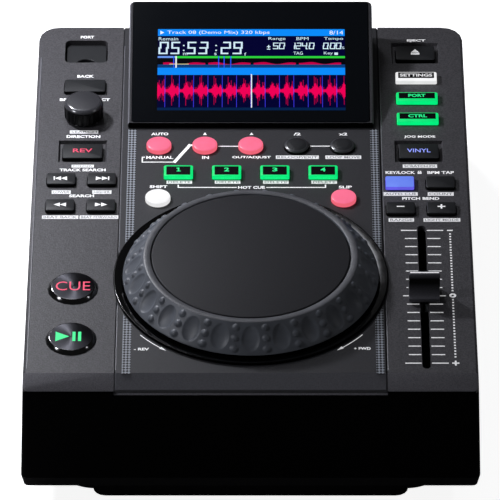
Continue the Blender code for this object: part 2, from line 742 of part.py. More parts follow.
def is_centre(x):
    return abs(x) < PANEL_WIDTH / 2


def make_top_case(materials):
    outer = case_block(SEAM_Z, DECK_Z, 0, 0)
    round_deck_edge(outer)
    case = finish("top_case", outer, materials["case"])

    cut(case, "case_hollow", case_block(SEAM_Z - OVERRUN, UNDER_DECK_Z, CASE_WALL, DECK_THICKNESS))

    well = bmesh.new()
    well_x, well_y = -COLUMN_PLACE, deck_y(PORT_ROW)
    well_floor = DECK_Z - PORT_WELL_DEPTH
    grow = 2 * PORT_WELL_WALL
    block(
        well, well_x, well_y, PORT_WELL_WIDTH + grow, PORT_WELL_LENGTH + grow,
        well_floor - PORT_WELL_WALL, UNDER_DECK_Z + DECK_THICKNESS / 2,
    )
    for x, place in post_places():
        prism(
            well, circle(x, deck_y(place), 2 * POST_RADIUS, SMALL_ROUND_STEPS // 2),
            KEY_BOARD_TOP_Z + SEAT_GAP, UNDER_DECK_Z + DECK_THICKNESS / 2,
        )
    join(case, "case_posts", well)

    recess = bmesh.new()
    depth = PANEL_THICKNESS + SEAT_GAP
    swept_x(
        recess,
        deck_section(depth, -OVERRUN, CASE_FRONT_Y - OVERRUN - SEAM_FLARE, DECK_REAR_Y + OVERRUN),
        PANEL_WIDTH / 2 + PANEL_GAP,
    )
    cut(case, "panel_recess", recess)

    holes = bmesh.new()
    low, high = UNDER_DECK_Z - OVERRUN, DECK_Z + OVERRUN
    key_holes(holes, low, high)
    prism(
        holes, slot_outline(FADER_PLACE, deck_y(FADER_SLOT_CENTRE), FADER_SLOT_WIDTH, FADER_SLOT_LENGTH), low, high
    )
    neck = ENCODER_SHAFT_DIAMETER + 2 * (SEAT_GAP + ENCODER_NECK_WALL + KEY_GAP)
    prism(holes, circle(-COLUMN_PLACE, deck_y(KNOB_ROW), neck, SMALL_ROUND_STEPS), low, high)
    prism(holes, circle(0, JOG_Y, COLLAR_SKIRT_DIAMETER + 2 * SEAT_GAP, JOG_TURN_STEPS), low, high)
    window_y, window_length = screen_window()
    block(holes, 0, window_y, LCD_WIDTH + 2 * WINDOW_MARGIN, window_length, low, high)
    cut(case, "deck_holes", holes)

    bezels = bmesh.new()
    for _, family, x, place, _ in key_table():
        if family == "bezel":
            slope = BEZEL_DEPTH
            middle = deck_y(place + BEZEL_KEY_LEAD)
            stack(
                bezels,
                layers(
                    [
                        (rectangle(x, middle, BEZEL_WIDTH - slope, BEZEL_LENGTH - slope), DECK_Z - BEZEL_DEPTH),
                        (rectangle(x, middle, BEZEL_WIDTH + slope, BEZEL_LENGTH + slope), DECK_Z + BEZEL_DEPTH),
                    ]
                ),
            )
    prism(
        bezels,
        rounded(well_x, well_y, PORT_WELL_WIDTH, PORT_WELL_LENGTH, [PORT_WELL_CORNER] * 4, 3),
        well_floor, DECK_Z + OVERRUN,
    )
    cut(case, "bezels_and_well", bezels)

    through = bmesh.new()
    block(
        through, well_x, well_y, PORT_SHELL_WIDTH + 2 * SEAT_GAP, PORT_SHELL_THICKNESS + 2 * SEAT_GAP,
        well_floor - PORT_WELL_WALL - OVERRUN, well_floor + OVERRUN,
    )
    rear_in = DECK_REAR_Y - CASE_WALL - OVERRUN
    rear_out = DECK_REAR_Y + rear_flare(SEAM_Z) + OVERRUN
    for side in (-1, 1):
        cylinder_y(
            through, PHONO_PLACE + side * PHONO_STEP / 2, PHONO_LINE_Z, PHONO_BARREL_DIAMETER + 2 * KEY_GAP, rear_in, rear_out
        )
    depth = rear_out - rear_in
    middle = (rear_out + rear_in) / 2
    for x, width, height, middle_z in (
        (DATA_PLACE, DATA_WIDTH, DATA_HEIGHT, MAIN_BOARD_TOP_Z + SEAT_GAP + DATA_HEIGHT / 2),
        (DC_PLACE, DC_WIDTH, DC_HEIGHT, MAIN_BOARD_TOP_Z + SEAT_GAP + DC_HEIGHT / 2),
        (POWER_PLACE, POWER_KEY_WIDTH, POWER_KEY_WIDTH, PHONO_LINE_Z),
    ):
        block(
            through, x, middle, width + 2 * KEY_GAP, depth,
            middle_z - height / 2 - KEY_GAP, middle_z + height / 2 + KEY_GAP,
        )
    cut(case, "socket_holes", through)
    return case


def make_centre_panel(materials):
    """The printed plate let into the middle of the deck, which runs down the sloping front."""
    bm = bmesh.new()
    front = CASE_FRONT_Y + EDGE_ROUND / 2
    swept_x(bm, deck_section(PANEL_THICKNESS, 0, front, DECK_REAR_Y - EDGE_ROUND), PANEL_WIDTH / 2)
    rim = [
        edge for edge in bm.edges
        if all(abs(abs(vert.co.x) - PANEL_WIDTH / 2) < SEAT_GAP for vert in edge.verts)
        and edge.verts[0].co.x * edge.verts[1].co.x > 0
        and any(face.normal.z > 0.5 for face in edge.link_faces)
    ]
    bmesh.ops.bevel(bm, geom=rim, offset=PANEL_EDGE, offset_type="OFFSET", segments=1, profile=0.5, affect="EDGES", material=-1)
    panel = finish("centre_panel", bm, materials["panel"])
    holes = bmesh.new()
    low, high = DECK_Z - PANEL_THICKNESS - OVERRUN, DECK_Z + OVERRUN
    key_holes(holes, low, high, is_centre)
    prism(holes, circle(0, JOG_Y, COLLAR_SKIRT_DIAMETER + 2 * SEAT_GAP, JOG_TURN_STEPS), low, high)
    window_y, window_length = screen_window()
    block(holes, 0, window_y, LCD_WIDTH + 2 * WINDOW_MARGIN, window_length, low, high)
    cut(panel, "panel_holes", holes)
    return panel


def base_prism(bm, outline, low, high, tuck):
    """A prism whose foot is drawn in a little, as the base's rim is."""
    middle_y = (CASE_FRONT_Y + DECK_REAR_Y) / 2
    half_w = CASE_WIDTH / 2
    half_l = (DECK_REAR_Y - CASE_FRONT_Y) / 2
    foot = [(x * (1 - tuck / half_w), middle_y + (y - middle_y) * (1 - tuck / half_l)) for x, y in outline]
    return stack(bm, layers([(foot, low), (outline, high)]))


def foot_places():
    return {
        "front_left": (-FOOT_SPACING / 2, deck_y(FOOT_FRONT_PLACE)),
        "front_right": (FOOT_SPACING / 2, deck_y(FOOT_FRONT_PLACE)),
        "rear_left": (-FOOT_SPACING / 2, deck_y(FOOT_REAR_PLACE)),
        "rear_right": (FOOT_SPACING / 2, deck_y(FOOT_REAR_PLACE)),
    }


def tub_outline(inset):
    front = CASE_FRONT_Y + TUB_FRONT_SETBACK + inset
    rear = DECK_REAR_Y - TUB_REAR_SETBACK - inset
    radius = TUB_CORNER_RADIUS - inset
    return rounded(0, (front + rear) / 2, TUB_WIDTH - 2 * inset, rear - front, [radius] * 4)


def main_board_middle():
    rear = DECK_REAR_Y - CASE_WALL - MAIN_BOARD_REAR_INSET
    return rear - MAIN_BOARD_LENGTH / 2


def make_bottom_cover(materials):
    """The tray: a rim under the case wall, a sunken tub and four bosses for the feet."""
    bm = bmesh.new()
    base_prism(bm, case_outline(SEAM_Z, 0), RIM_BOTTOM_Z, SEAM_Z - SEAT_GAP, BASE_TUCK)
    cover = finish("bottom_cover", bm, materials["black"])

    tub = bmesh.new()
    prism(tub, tub_outline(0), TUB_BOTTOM_Z, RIM_BOTTOM_Z + BASE_WALL)
    join(cover, "tub_outside", tub)
    bosses = bmesh.new()
    for x, y in foot_places().values():
        prism(bosses, circle(x, y, FOOT_DIAMETER + 2 * FOOT_BOSS_MARGIN, ROUND_STEPS), TUB_BOTTOM_Z, RIM_BOTTOM_Z + BASE_WALL / 2)
    join(cover, "foot_bosses", bosses)

    rim = bmesh.new()
    base_prism(rim, case_outline(SEAM_Z, CASE_WALL), RIM_BOTTOM_Z + BASE_WALL, SEAM_Z + OVERRUN, BASE_TUCK)
    cut(cover, "rim_inside", rim)
    inside = bmesh.new()
    prism(inside, tub_outline(BASE_WALL), TUB_BOTTOM_Z + BASE_WALL, SEAM_Z)
    cut(cover, "tub_inside", inside)
    pockets = bmesh.new()
    for x, y in foot_places().values():
        pocket = circle(x, y, FOOT_DIAMETER + 2 * FOOT_BOSS_MARGIN - 2 * BASE_WALL, ROUND_STEPS)
        prism(pockets, pocket, TUB_BOTTOM_Z + BASE_WALL, SEAM_Z)
    cut(cover, "boss_pockets", pockets)

    vents = bmesh.new()
    for index in range(BASE_VENT_COUNT):
        place = BASE_VENT_PLACE + (index - (BASE_VENT_COUNT - 1) / 2) * BASE_VENT_STEP
        block(
            vents, 0, deck_y(place), BASE_VENT_LENGTH, BASE_VENT_WIDTH,
            TUB_BOTTOM_Z - OVERRUN, TUB_BOTTOM_Z + BASE_WALL + OVERRUN,
        )
    cut(cover, "base_vents", vents)

    posts = bmesh.new()
    reach_x = TUB_WIDTH / 2 - BASE_WALL - 2 * BOARD_POST_RADIUS
    reach_y = MAIN_BOARD_LENGTH / 2 - 2 * BOARD_POST_RADIUS
    for side in (-1, 1):
        for end in (-1, 1):
            prism(
                posts,
                circle(side * reach_x, main_board_middle() + end * reach_y, 2 * BOARD_POST_RADIUS, SMALL_ROUND_STEPS // 2),
                TUB_BOTTOM_Z + BASE_WALL / 2, MAIN_BOARD_Z - SEAT_GAP,
            )
    join(cover, "board_posts", posts)
    return cover


def make_feet(materials):
    for name, (x, y) in foot_places().items():
        bm = bmesh.new()
        outline = circle(x, y, FOOT_DIAMETER, ROUND_STEPS)
        narrow = circle(x, y, FOOT_DIAMETER - 2 * FOOT_EDGE, ROUND_STEPS)
        stack(bm, layers([(narrow, 0), (outline, FOOT_EDGE), (outline, FOOT_PROUD - SEAT_GAP)]))
        finish(f"foot_{name}", bm, materials["foot"])


# The screen

def tilted(x, along, below=0.0):
    """A point on the screen's sloping face: across, up the slope from the pod's front, and below the face."""
    normal = Vector((0, -math.sin(SCREEN_TILT), math.cos(SCREEN_TILT)))
    up = Vector((0, math.cos(SCREEN_TILT), math.sin(SCREEN_TILT)))
    start = Vector((0, deck_y(POD_PLACE), DECK_Z + SEAT_GAP + POD_LIP))
    point = start + up * along - normal * below
    return (x, point.y, point.z)


def tilted_slab(bm, width, length, start, corner, top, bottom, steps=CORNER_STEPS):
    outline = rounded(0, start + length / 2, width, length, [corner] * 4, steps)
    stack(bm, [[tilted(x, along, below) for x, along in outline] for below in (bottom, top)])


def lens_start():
    return (POD_LENGTH - LENS_LENGTH) / 2


def lcd_below():
    return LENS_THICKNESS + 2 * SEAT_GAP


def screen_window():
    """The middle and length of the cut-out that lets the display through the deck."""
    low = tilted(0, LCD_PLACE, lcd_below() + LCD_THICKNESS)[1] + WINDOW_MARGIN
    front = min(tilted(0, LCD_PLACE, lcd_below())[1], low) - WINDOW_MARGIN
    rear = tilted(0, LCD_PLACE + LCD_LENGTH, 0)[1] - POD_LEDGE
    return (front + rear) / 2, rear - front


def make_screen(materials):
    base_z = DECK_Z + SEAT_GAP
    outline = rounded(
        0, POD_LENGTH / 2, POD_WIDTH, POD_LENGTH, [POD_EDGE, POD_CORNER, POD_CORNER, POD_EDGE]
    )
    inner = rounded(
        0, POD_LENGTH / 2, POD_WIDTH - 2 * POD_EDGE, POD_LENGTH - 2 * POD_EDGE,
        [POD_EDGE / 2, POD_CORNER - POD_EDGE, POD_CORNER - POD_EDGE, POD_EDGE / 2],
    )
    side = [tilted(x, along, POD_EDGE) for x, along in outline]
    bm = bmesh.new()
    stack(bm, [[(x, y, base_z) for x, y, _ in side], side, [tilted(x, along) for x, along in inner]])
    pod = finish("screen_pod", bm, materials["black"])

    recess = bmesh.new()
    tilted_slab(
        recess, LENS_WIDTH + 2 * PANEL_GAP, LENS_LENGTH + 2 * PANEL_GAP, lens_start() - PANEL_GAP,
        LENS_CORNER + PANEL_GAP, -OVERRUN, LENS_THICKNESS + SEAT_GAP,
    )
    cut(pod, "lens_recess", recess)
    opening = bmesh.new()
    tilted_slab(
        opening, LCD_WIDTH + 2 * WINDOW_MARGIN, LCD_LENGTH + 2 * WINDOW_MARGIN, LCD_PLACE - WINDOW_MARGIN,
        POD_EDGE, 0, POD_LENGTH * math.sin(SCREEN_TILT) + POD_LIP + OVERRUN, 1,
    )
    cut(pod, "display_opening", opening)

    lens = bmesh.new()
    tilted_slab(lens, LENS_WIDTH, LENS_LENGTH, lens_start(), LENS_CORNER, 0, LENS_THICKNESS)
    finish("screen_lens", lens, materials["gloss"])
    lcd = bmesh.new()
    tilted_slab(lcd, LCD_WIDTH, LCD_LENGTH, LCD_PLACE, POD_EDGE, lcd_below(), lcd_below() + LCD_THICKNESS, 1)
    finish("lcd_module", lcd, materials["steel"])


# The jog wheel

def cone_radius(z):
    """The grip ring's outer radius at a height."""
    top = DECK_Z + JOG_RISE
    low = DECK_Z + JOG_SKIRT_RISE
    share = (top - z) / (top - low)
    return JOG_RIM_DIAMETER / 2 + share * (JOG_DIAMETER - JOG_RIM_DIAMETER) / 2


def grip_relief(across, along):
    """How far the grip ring's face stands out, from the distance to an oval's middle and to a dome column."""
    pitch = math.pi * (JOG_DIAMETER + JOG_RIM_DIAMETER) / 2 / GRIP_COUNT
    oval = (across / (GRIP_OVAL_WIDTH / 2)) ** 2 + (along / (GRIP_OVAL_LENGTH / 2)) ** 2
    if oval < 1:
        return -GRIP_OVAL_DEPTH * (1 - oval)
    beside = abs(abs(across) - pitch / 2)
    for step in (-1, 0, 1):
        reach = math.hypot(beside, along - step * GRIP_DOME_STEP) / (GRIP_DOME_DIAMETER / 2)
        if reach < 1:
            return GRIP_DOME_HEIGHT * math.sqrt(1 - reach * reach)
    return 0.0


def make_grip_ring(materials):
    """The rubber ring: a smooth rim, and a sloping skirt pressed with ovals and domes."""
    top, low = DECK_Z + JOG_RISE, DECK_Z + JOG_SKIRT_RISE
    rim, skirt = JOG_RIM_DIAMETER / 2, JOG_DIAMETER / 2
    slant = math.hypot(skirt - rim, top - low)
    out = Vector((top - low, skirt - rim)).normalized()
    pitch = math.pi * (JOG_DIAMETER + JOG_RIM_DIAMETER) / 2 / GRIP_COUNT
    half_oval, dome = GRIP_OVAL_WIDTH / 2, GRIP_DOME_DIAMETER / 2
    across_places = [-pitch / 2, dome - pitch / 2, -half_oval, -half_oval / 2, 0, half_oval / 2, half_oval, pitch / 2 - dome]
    rows = {0.0}
    for step in (-1, 0, 1):
        for shift in (-1, 0, 1):
            rows.add(step * GRIP_DOME_STEP + shift * dome)
    along_places = sorted(row for row in rows if abs(row) < slant / 2)
    inner_top = top - TOUCH_THICKNESS - SEAT_GAP
    bm = bmesh.new()
    rings = []
    inner_rim = TOUCH_DIAMETER / 2 + SEAT_GAP
    for sector in range(GRIP_COUNT):
        for across in across_places:
            angle = math.tau * (sector + across / pitch) / GRIP_COUNT
            column = [
                (inner_rim, inner_top),
                (inner_rim, top),
                (rim, top),
            ]
            for along in along_places:
                share = 0.5 + along / slant
                relief = grip_relief(across, along)
                radius = rim + share * (skirt - rim) + relief * out.x
                column.append((radius, top - share * (top - low) + relief * out.y))
            column += [
                (skirt, low),
                (skirt - JOG_RING_WALL, low),
                (cone_radius(inner_top) - JOG_RING_WALL, inner_top),
            ]
            rings.append([(r * math.cos(angle), r * math.sin(angle), z) for r, z in column])
    grid = [[bm.verts.new(point) for point in column] for column in rings]
    for here, after in zip(grid, grid[1:] + grid[:1]):
        for i in range(len(here)):
            j = (i + 1) % len(here)
            bm.faces.new((here[i], here[j], after[j], after[i]))
    bmesh.ops.recalc_face_normals(bm, faces=bm.faces)
    bmesh.ops.translate(bm, vec=(0, JOG_Y, 0), verts=bm.verts)
    ring = finish("jog_grip_ring", bm, materials["rubber"], 60)
    return pivoted(ring, (0, JOG_Y, DECK_Z))


def make_jog_wheel(materials):
    centre = (0, JOG_Y)
    pivot = (0, JOG_Y, DECK_Z)
    top = DECK_Z + JOG_RISE
    plate_top = top - TOUCH_THICKNESS - 2 * SEAT_GAP
    plate_low = plate_top - PLATTER_PLATE
    skirt_low = DECK_Z + JOG_SKIRT_RISE + SEAT_GAP
    bush_top = UNDER_DECK_Z - BRACKET_DEPTH + BUSH_FLANGE_THICKNESS + SEAT_GAP
    hub_low = bush_top + SEAT_GAP
    bore = SHAFT_DIAMETER / 2 + SEAT_GAP

    disc = bmesh.new()
    outline = circle(0, JOG_Y, TOUCH_DIAMETER, JOG_TURN_STEPS)
    face = circle(0, JOG_Y, TOUCH_DIAMETER - 2 * TOUCH_EDGE, JOG_TURN_STEPS)
    disc_low = top - TOUCH_THICKNESS
    stack(disc, layers([(outline, disc_low), (outline, top - TOUCH_EDGE), (face, top)]))
    pivoted(finish("jog_touch_plate", disc, materials["panel"]), pivot)

    make_grip_ring(materials)

    def skirt_radius(z, wall):
        return cone_radius(z) - JOG_RING_WALL - SEAT_GAP - wall

    code_out = CODE_RING_DIAMETER / 2
    code_low = plate_low - CODE_RING_HEIGHT
    profile = [
        (bore, hub_low),
        (PLATTER_HUB_DIAMETER / 2, hub_low),
        (PLATTER_HUB_DIAMETER / 2, plate_low),
        (code_out - CODE_RING_WALL, plate_low),
        (code_out - CODE_RING_WALL, code_low),
        (code_out, code_low),
        (code_out, plate_low),
        (skirt_radius(plate_low, PLATTER_SKIRT_WALL), plate_low),
        (skirt_radius(skirt_low, PLATTER_SKIRT_WALL), skirt_low),
        (skirt_radius(skirt_low, 0), skirt_low),
        (skirt_radius(plate_top, 0), plate_top),
        (bore, plate_top),
    ]
    platter = bmesh.new()
    turned(platter, profile, 2 * CODE_TEETH)
    cut_teeth(platter, code_low)
    bmesh.ops.translate(platter, vec=(*centre, 0), verts=platter.verts)
    pivoted(finish("jog_platter", platter, materials["black"]), pivot)

    shaft_low = bush_top - BUSH_LENGTH - SHAFT_TAIL
    head_low = shaft_low - SHAFT_HEAD_HEIGHT
    radius, head = SHAFT_DIAMETER / 2, SHAFT_HEAD_DIAMETER / 2
    shaft = bmesh.new()
    stack(
        shaft,
        layers(
            [
                (circle(*centre, 2 * head, SMALL_ROUND_STEPS), head_low),
                (circle(*centre, 2 * head, SMALL_ROUND_STEPS), shaft_low),
                (circle(*centre, 2 * radius, SMALL_ROUND_STEPS), shaft_low),
                (circle(*centre, 2 * radius, SMALL_ROUND_STEPS), plate_top - SEAT_GAP),
            ]
        ),
    )
    pivoted(finish("jog_shaft", shaft, materials["steel"]), pivot)


def cut_teeth(bm, low):
    """Draws every other segment of the code ring's foot down into a tooth for the light gates."""
    feet = [
        face for face in bm.faces
        if abs(face.calc_center_median().z - low) < SEAT_GAP and abs(face.normal.z) > 0.9
    ]
    feet.sort(key=lambda face: math.atan2(face.calc_center_median().y, face.calc_center_median().x))
    for face in feet[::2]:
        made = bmesh.ops.extrude_discrete_faces(bm, faces=[face])["faces"]
        bmesh.ops.translate(bm, vec=(0, 0, -CODE_TOOTH_HEIGHT), verts=made[0].verts)
    bmesh.ops.recalc_face_normals(bm, faces=bm.faces)


def make_jog_seat(materials):
    """The fixed pieces: the gloss collar on the deck, the pressed bracket under it and the bush."""
    centre = (0, JOG_Y)
    outer, skirt = COLLAR_DIAMETER / 2, COLLAR_SKIRT_DIAMETER / 2
    low, high = DECK_Z + SEAT_GAP, DECK_Z + COLLAR_RISE
    inner = COLLAR_INNER_DIAMETER / 2
    collar = bmesh.new()
    turned(
        collar,
        [
            (inner, UNDER_DECK_Z),
            (skirt, UNDER_DECK_Z),
            (skirt, low),
            (outer, low),
            (outer, high - COLLAR_EDGE / 2),
            (outer - COLLAR_EDGE, high),
            (inner + COLLAR_SKIRT_WALL, high),
            (inner, high - COLLAR_SKIRT_WALL / 2),
        ],
        JOG_TURN_STEPS,
        centre,
    )
    finish("jog_collar", collar, materials["gloss"])

    floor_top = UNDER_DECK_Z - BRACKET_DEPTH
    flange_top = UNDER_DECK_Z - SEAT_GAP
    dish = BRACKET_DIAMETER / 2
    hole = SHAFT_DIAMETER / 2 + SEAT_GAP + BUSH_WALL + SEAT_GAP
    bracket = bmesh.new()
    turned(
        bracket,
        [
            (hole, floor_top - BRACKET_SHEET),
            (dish + BRACKET_SHEET, floor_top - BRACKET_SHEET),
            (dish + BRACKET_SHEET, flange_top - BRACKET_SHEET),
            (BRACKET_FLANGE_DIAMETER / 2, flange_top - BRACKET_SHEET),
            (BRACKET_FLANGE_DIAMETER / 2, flange_top),
            (dish, flange_top),
            (dish, floor_top),
            (hole, floor_top),
        ],
        JOG_TURN_STEPS * 2 // 3,
        centre,
    )
    finish("jog_bracket", bracket, materials["steel"])

    flange_low = floor_top + SEAT_GAP
    bore = SHAFT_DIAMETER / 2 + SEAT_GAP
    bush = bmesh.new()
    turned(
        bush,
        [
            (bore, flange_low + BUSH_FLANGE_THICKNESS - BUSH_LENGTH),
            (bore + BUSH_WALL, flange_low + BUSH_FLANGE_THICKNESS - BUSH_LENGTH),
            (bore + BUSH_WALL, flange_low),
            (BUSH_FLANGE_DIAMETER / 2, flange_low),
            (BUSH_FLANGE_DIAMETER / 2, flange_low + BUSH_FLANGE_THICKNESS),
            (bore, flange_low + BUSH_FLANGE_THICKNESS),
        ],
        SMALL_ROUND_STEPS,
        centre,
    )
    finish("jog_bush", bush, materials["brass"])


# The boards

def make_key_board(materials):
    """The board under the deck: cut out round the jog wheel, with a switch under every key."""
    bm = bmesh.new()
    middle = deck_y((KEY_BOARD_FRONT + KEY_BOARD_REAR) / 2)
    block(bm, 0, middle, KEY_BOARD_WIDTH, KEY_BOARD_REAR - KEY_BOARD_FRONT, KEY_BOARD_TOP_Z - KEY_BOARD_THICKNESS, KEY_BOARD_TOP_Z)
    board = finish("key_board", bm, materials["board"])
    low = KEY_BOARD_TOP_Z - KEY_BOARD_THICKNESS - OVERRUN
    high = KEY_BOARD_TOP_Z + OVERRUN
    gap = bmesh.new()
    well = BRACKET_FLANGE_DIAMETER + 2 * BOARD_JOG_MARGIN
    front = deck_y(KEY_BOARD_FRONT) - OVERRUN
    round_part = circle(0, JOG_Y, well, JOG_TURN_STEPS // 2)
    prism(gap, round_part, low, high)
    cut(board, "jog_gap", gap)
    mouth = bmesh.new()
    block(mouth, 0, (front + JOG_Y) / 2, well * 0.7, JOG_Y - front, low, high)
    cut(board, "jog_gap_mouth", mouth)
    switches = bmesh.new()
    for _, _, x, place, _ in key_table():
        block(
            switches, x, deck_y(place), SWITCH_WIDTH, SWITCH_WIDTH,
            KEY_BOARD_TOP_Z - KEY_BOARD_THICKNESS / 2, KEY_BOARD_TOP_Z + SWITCH_HEIGHT,
        )
    join(board, "tact_switches", switches)


def make_main_board(materials):
    """The lower board, with the power switch's housing and its two largest parts fused to it."""
    bm = bmesh.new()
    middle = main_board_middle()
    block(bm, 0, middle, MAIN_BOARD_WIDTH, MAIN_BOARD_LENGTH, MAIN_BOARD_Z, MAIN_BOARD_TOP_Z)
    board = finish("main_board", bm, materials["board"])
    parts = bmesh.new()
    stem_end = power_stem_end()
    half = POWER_SWITCH_WIDTH / 2
    block(
        parts, POWER_PLACE, stem_end - POWER_KEY_TRAVEL - SEAT_GAP - POWER_SWITCH_LENGTH / 2,
        POWER_SWITCH_WIDTH, POWER_SWITCH_LENGTH,
        MAIN_BOARD_Z + MAIN_BOARD_THICKNESS / 2, PHONO_LINE_Z + half,
    )
    chip = MAIN_BOARD_LENGTH / 5
    block(
        parts, 0, middle - chip, chip, chip,
        MAIN_BOARD_Z + MAIN_BOARD_THICKNESS / 2, MAIN_BOARD_TOP_Z + MAIN_BOARD_THICKNESS,
    )
    join(board, "board_parts", parts)


# The browse encoder and its knob

def encoder_base_z():
    return KEY_BOARD_TOP_Z + SEAT_GAP


def make_encoder(materials):
    x, y = -COLUMN_PLACE, deck_y(KNOB_ROW)
    base = encoder_base_z()
    body_top = base + ENCODER_HEIGHT
    bore = ENCODER_SHAFT_DIAMETER + 2 * SEAT_GAP
    neck = bore + 2 * ENCODER_NECK_WALL
    neck_top = DECK_Z
    bm = bmesh.new()
    block(bm, x, y, ENCODER_WIDTH, ENCODER_WIDTH, base, body_top)
    body = finish("encoder_body", bm, materials["steel"])
    collar = bmesh.new()
    prism(collar, circle(x, y, neck, SMALL_ROUND_STEPS), body_top - ENCODER_FLOOR, neck_top)
    join(body, "encoder_neck", collar)
    hole = bmesh.new()
    prism(hole, circle(x, y, bore, SMALL_ROUND_STEPS), base + ENCODER_FLOOR, neck_top + OVERRUN)
    cut(body, "encoder_bore", hole)

    plunger_low = base + ENCODER_FLOOR + KNOB_PUSH + SEAT_GAP
    plunger_top = plunger_low + ENCODER_PLUNGER_HEIGHT
    small = circle(x, y, ENCODER_SHAFT_DIAMETER, SMALL_ROUND_STEPS)
    plunger = bmesh.new()
    prism(plunger, small, plunger_low, plunger_top)
    pivoted(finish("encoder_plunger", plunger, materials["brass"]), (x, y, DECK_Z))

    knob_low = DECK_Z + KNOB_LIFT
    knob_top = knob_low + KNOB_HEIGHT
    shaft_top = knob_top - KNOB_CAP - SEAT_GAP
    shaft = bmesh.new()
    prism(shaft, small, plunger_top + SEAT_GAP, shaft_top)
    pivoted(finish("encoder_shaft", shaft, materials["steel"]), (x, y, DECK_Z))

    fluted = []
    steps = 2 * KNOB_FLUTES
    for step in range(steps):
        angle = math.tau * step / steps
        radius = KNOB_DIAMETER / 2 - (KNOB_FLUTE_DEPTH if step % 2 else 0)
        fluted.append((x + radius * math.cos(angle), y + radius * math.sin(angle)))
    face = circle(x, y, KNOB_DIAMETER - 2 * KNOB_TOP_CHAMFER, steps)
    shoulder = circle(x, y, KNOB_DIAMETER - 2 * KNOB_FLUTE_DEPTH, steps)
    knob = bmesh.new()
    stack(
        knob,
        layers([(fluted, knob_low), (fluted, knob_top - 2 * KNOB_TOP_CHAMFER), (shoulder, knob_top - KNOB_TOP_CHAMFER), (face, knob_top)]),
    )
    cap = finish("browse_knob", knob, materials["black"])
    socket = bmesh.new()
    prism(socket, circle(x, y, bore, SMALL_ROUND_STEPS), knob_low - OVERRUN, knob_top - KNOB_CAP)
    cut(cap, "knob_bore", socket)
    neck_room = bmesh.new()
    prism(neck_room, circle(x, y, neck + 2 * KEY_GAP, SMALL_ROUND_STEPS), knob_low - OVERRUN, DECK_Z + KNOB_LIFT + KNOB_PUSH)
    cut(cap, "knob_neck_room", neck_room)


# The pitch fader

def fader_body_base_z():
    return KEY_BOARD_TOP_Z + SEAT_GAP


def make_fader(materials):
    x, y = FADER_PLACE, deck_y(FADER_SLOT_CENTRE)
    base = fader_body_base_z()
    body_top = base + FADER_BODY_HEIGHT
    body_length = FADER_TRAVEL + CARRIAGE_LENGTH + 2 * FADER_BODY_MARGIN
    bm = bmesh.new()
    block(bm, x, y, FADER_BODY_WIDTH, body_length, base, body_top)
    body = finish("fader_body", bm, materials["steel"])
    channel = bmesh.new()
    block(
        channel, x, y, FADER_CHANNEL_WIDTH, body_length - FADER_BODY_MARGIN,
        base + FADER_CHANNEL_FLOOR, body_top + OVERRUN,
    )
    cut(body, "fader_channel", channel)

    carriage_low = base + FADER_CHANNEL_FLOOR + SEAT_GAP
    carriage_top = carriage_low + CARRIAGE_HEIGHT
    cap_low = DECK_Z + CAP_LIFT
    lever_top = cap_low + CAP_SOCKET_DEPTH - SEAT_GAP
    carriage = rectangle(x, y, CARRIAGE_WIDTH, CARRIAGE_LENGTH)
    blade = rectangle(x, y, LEVER_THICKNESS, LEVER_LENGTH)
    lever = bmesh.new()
    stack(lever, layers([(carriage, carriage_low), (carriage, carriage_top), (blade, carriage_top), (blade, lever_top)]))
    pivoted(finish("fader_lever", lever, materials["steel"]), (x, y, DECK_Z))

    half, ridge = CAP_LENGTH / 2, CAP_RIDGE / 2
    top, foot = cap_low + CAP_HEIGHT, cap_low + CAP_FOOT_HEIGHT
    rise = top - foot
    run = half - ridge
    flank = [
        (half, cap_low),
        (half, foot),
        (half - 0.3 * run, foot + 0.16 * rise),
        (half - 0.58 * run, foot + 0.4 * rise),
        (half - 0.78 * run, foot + 0.68 * rise),
        (ridge, top),
    ]
    section = [(-a, b) for a, b in flank] + [(a, b) for a, b in reversed(flank)]
    cap_bm = bmesh.new()
    loops = [[(x + side * CAP_WIDTH / 2, y + a, b) for a, b in section] for side in (-1, 1)]
    stack(cap_bm, loops)
    bmesh.ops.recalc_face_normals(cap_bm, faces=cap_bm.faces)
    cap = finish("fader_cap", cap_bm, materials["black"])
    socket = bmesh.new()
    block(
        socket, x, y, LEVER_THICKNESS + 2 * SEAT_GAP, LEVER_LENGTH + 2 * SEAT_GAP,
        cap_low - OVERRUN, cap_low + CAP_SOCKET_DEPTH,
    )
    cut(cap, "cap_socket", socket)


# The Memory port

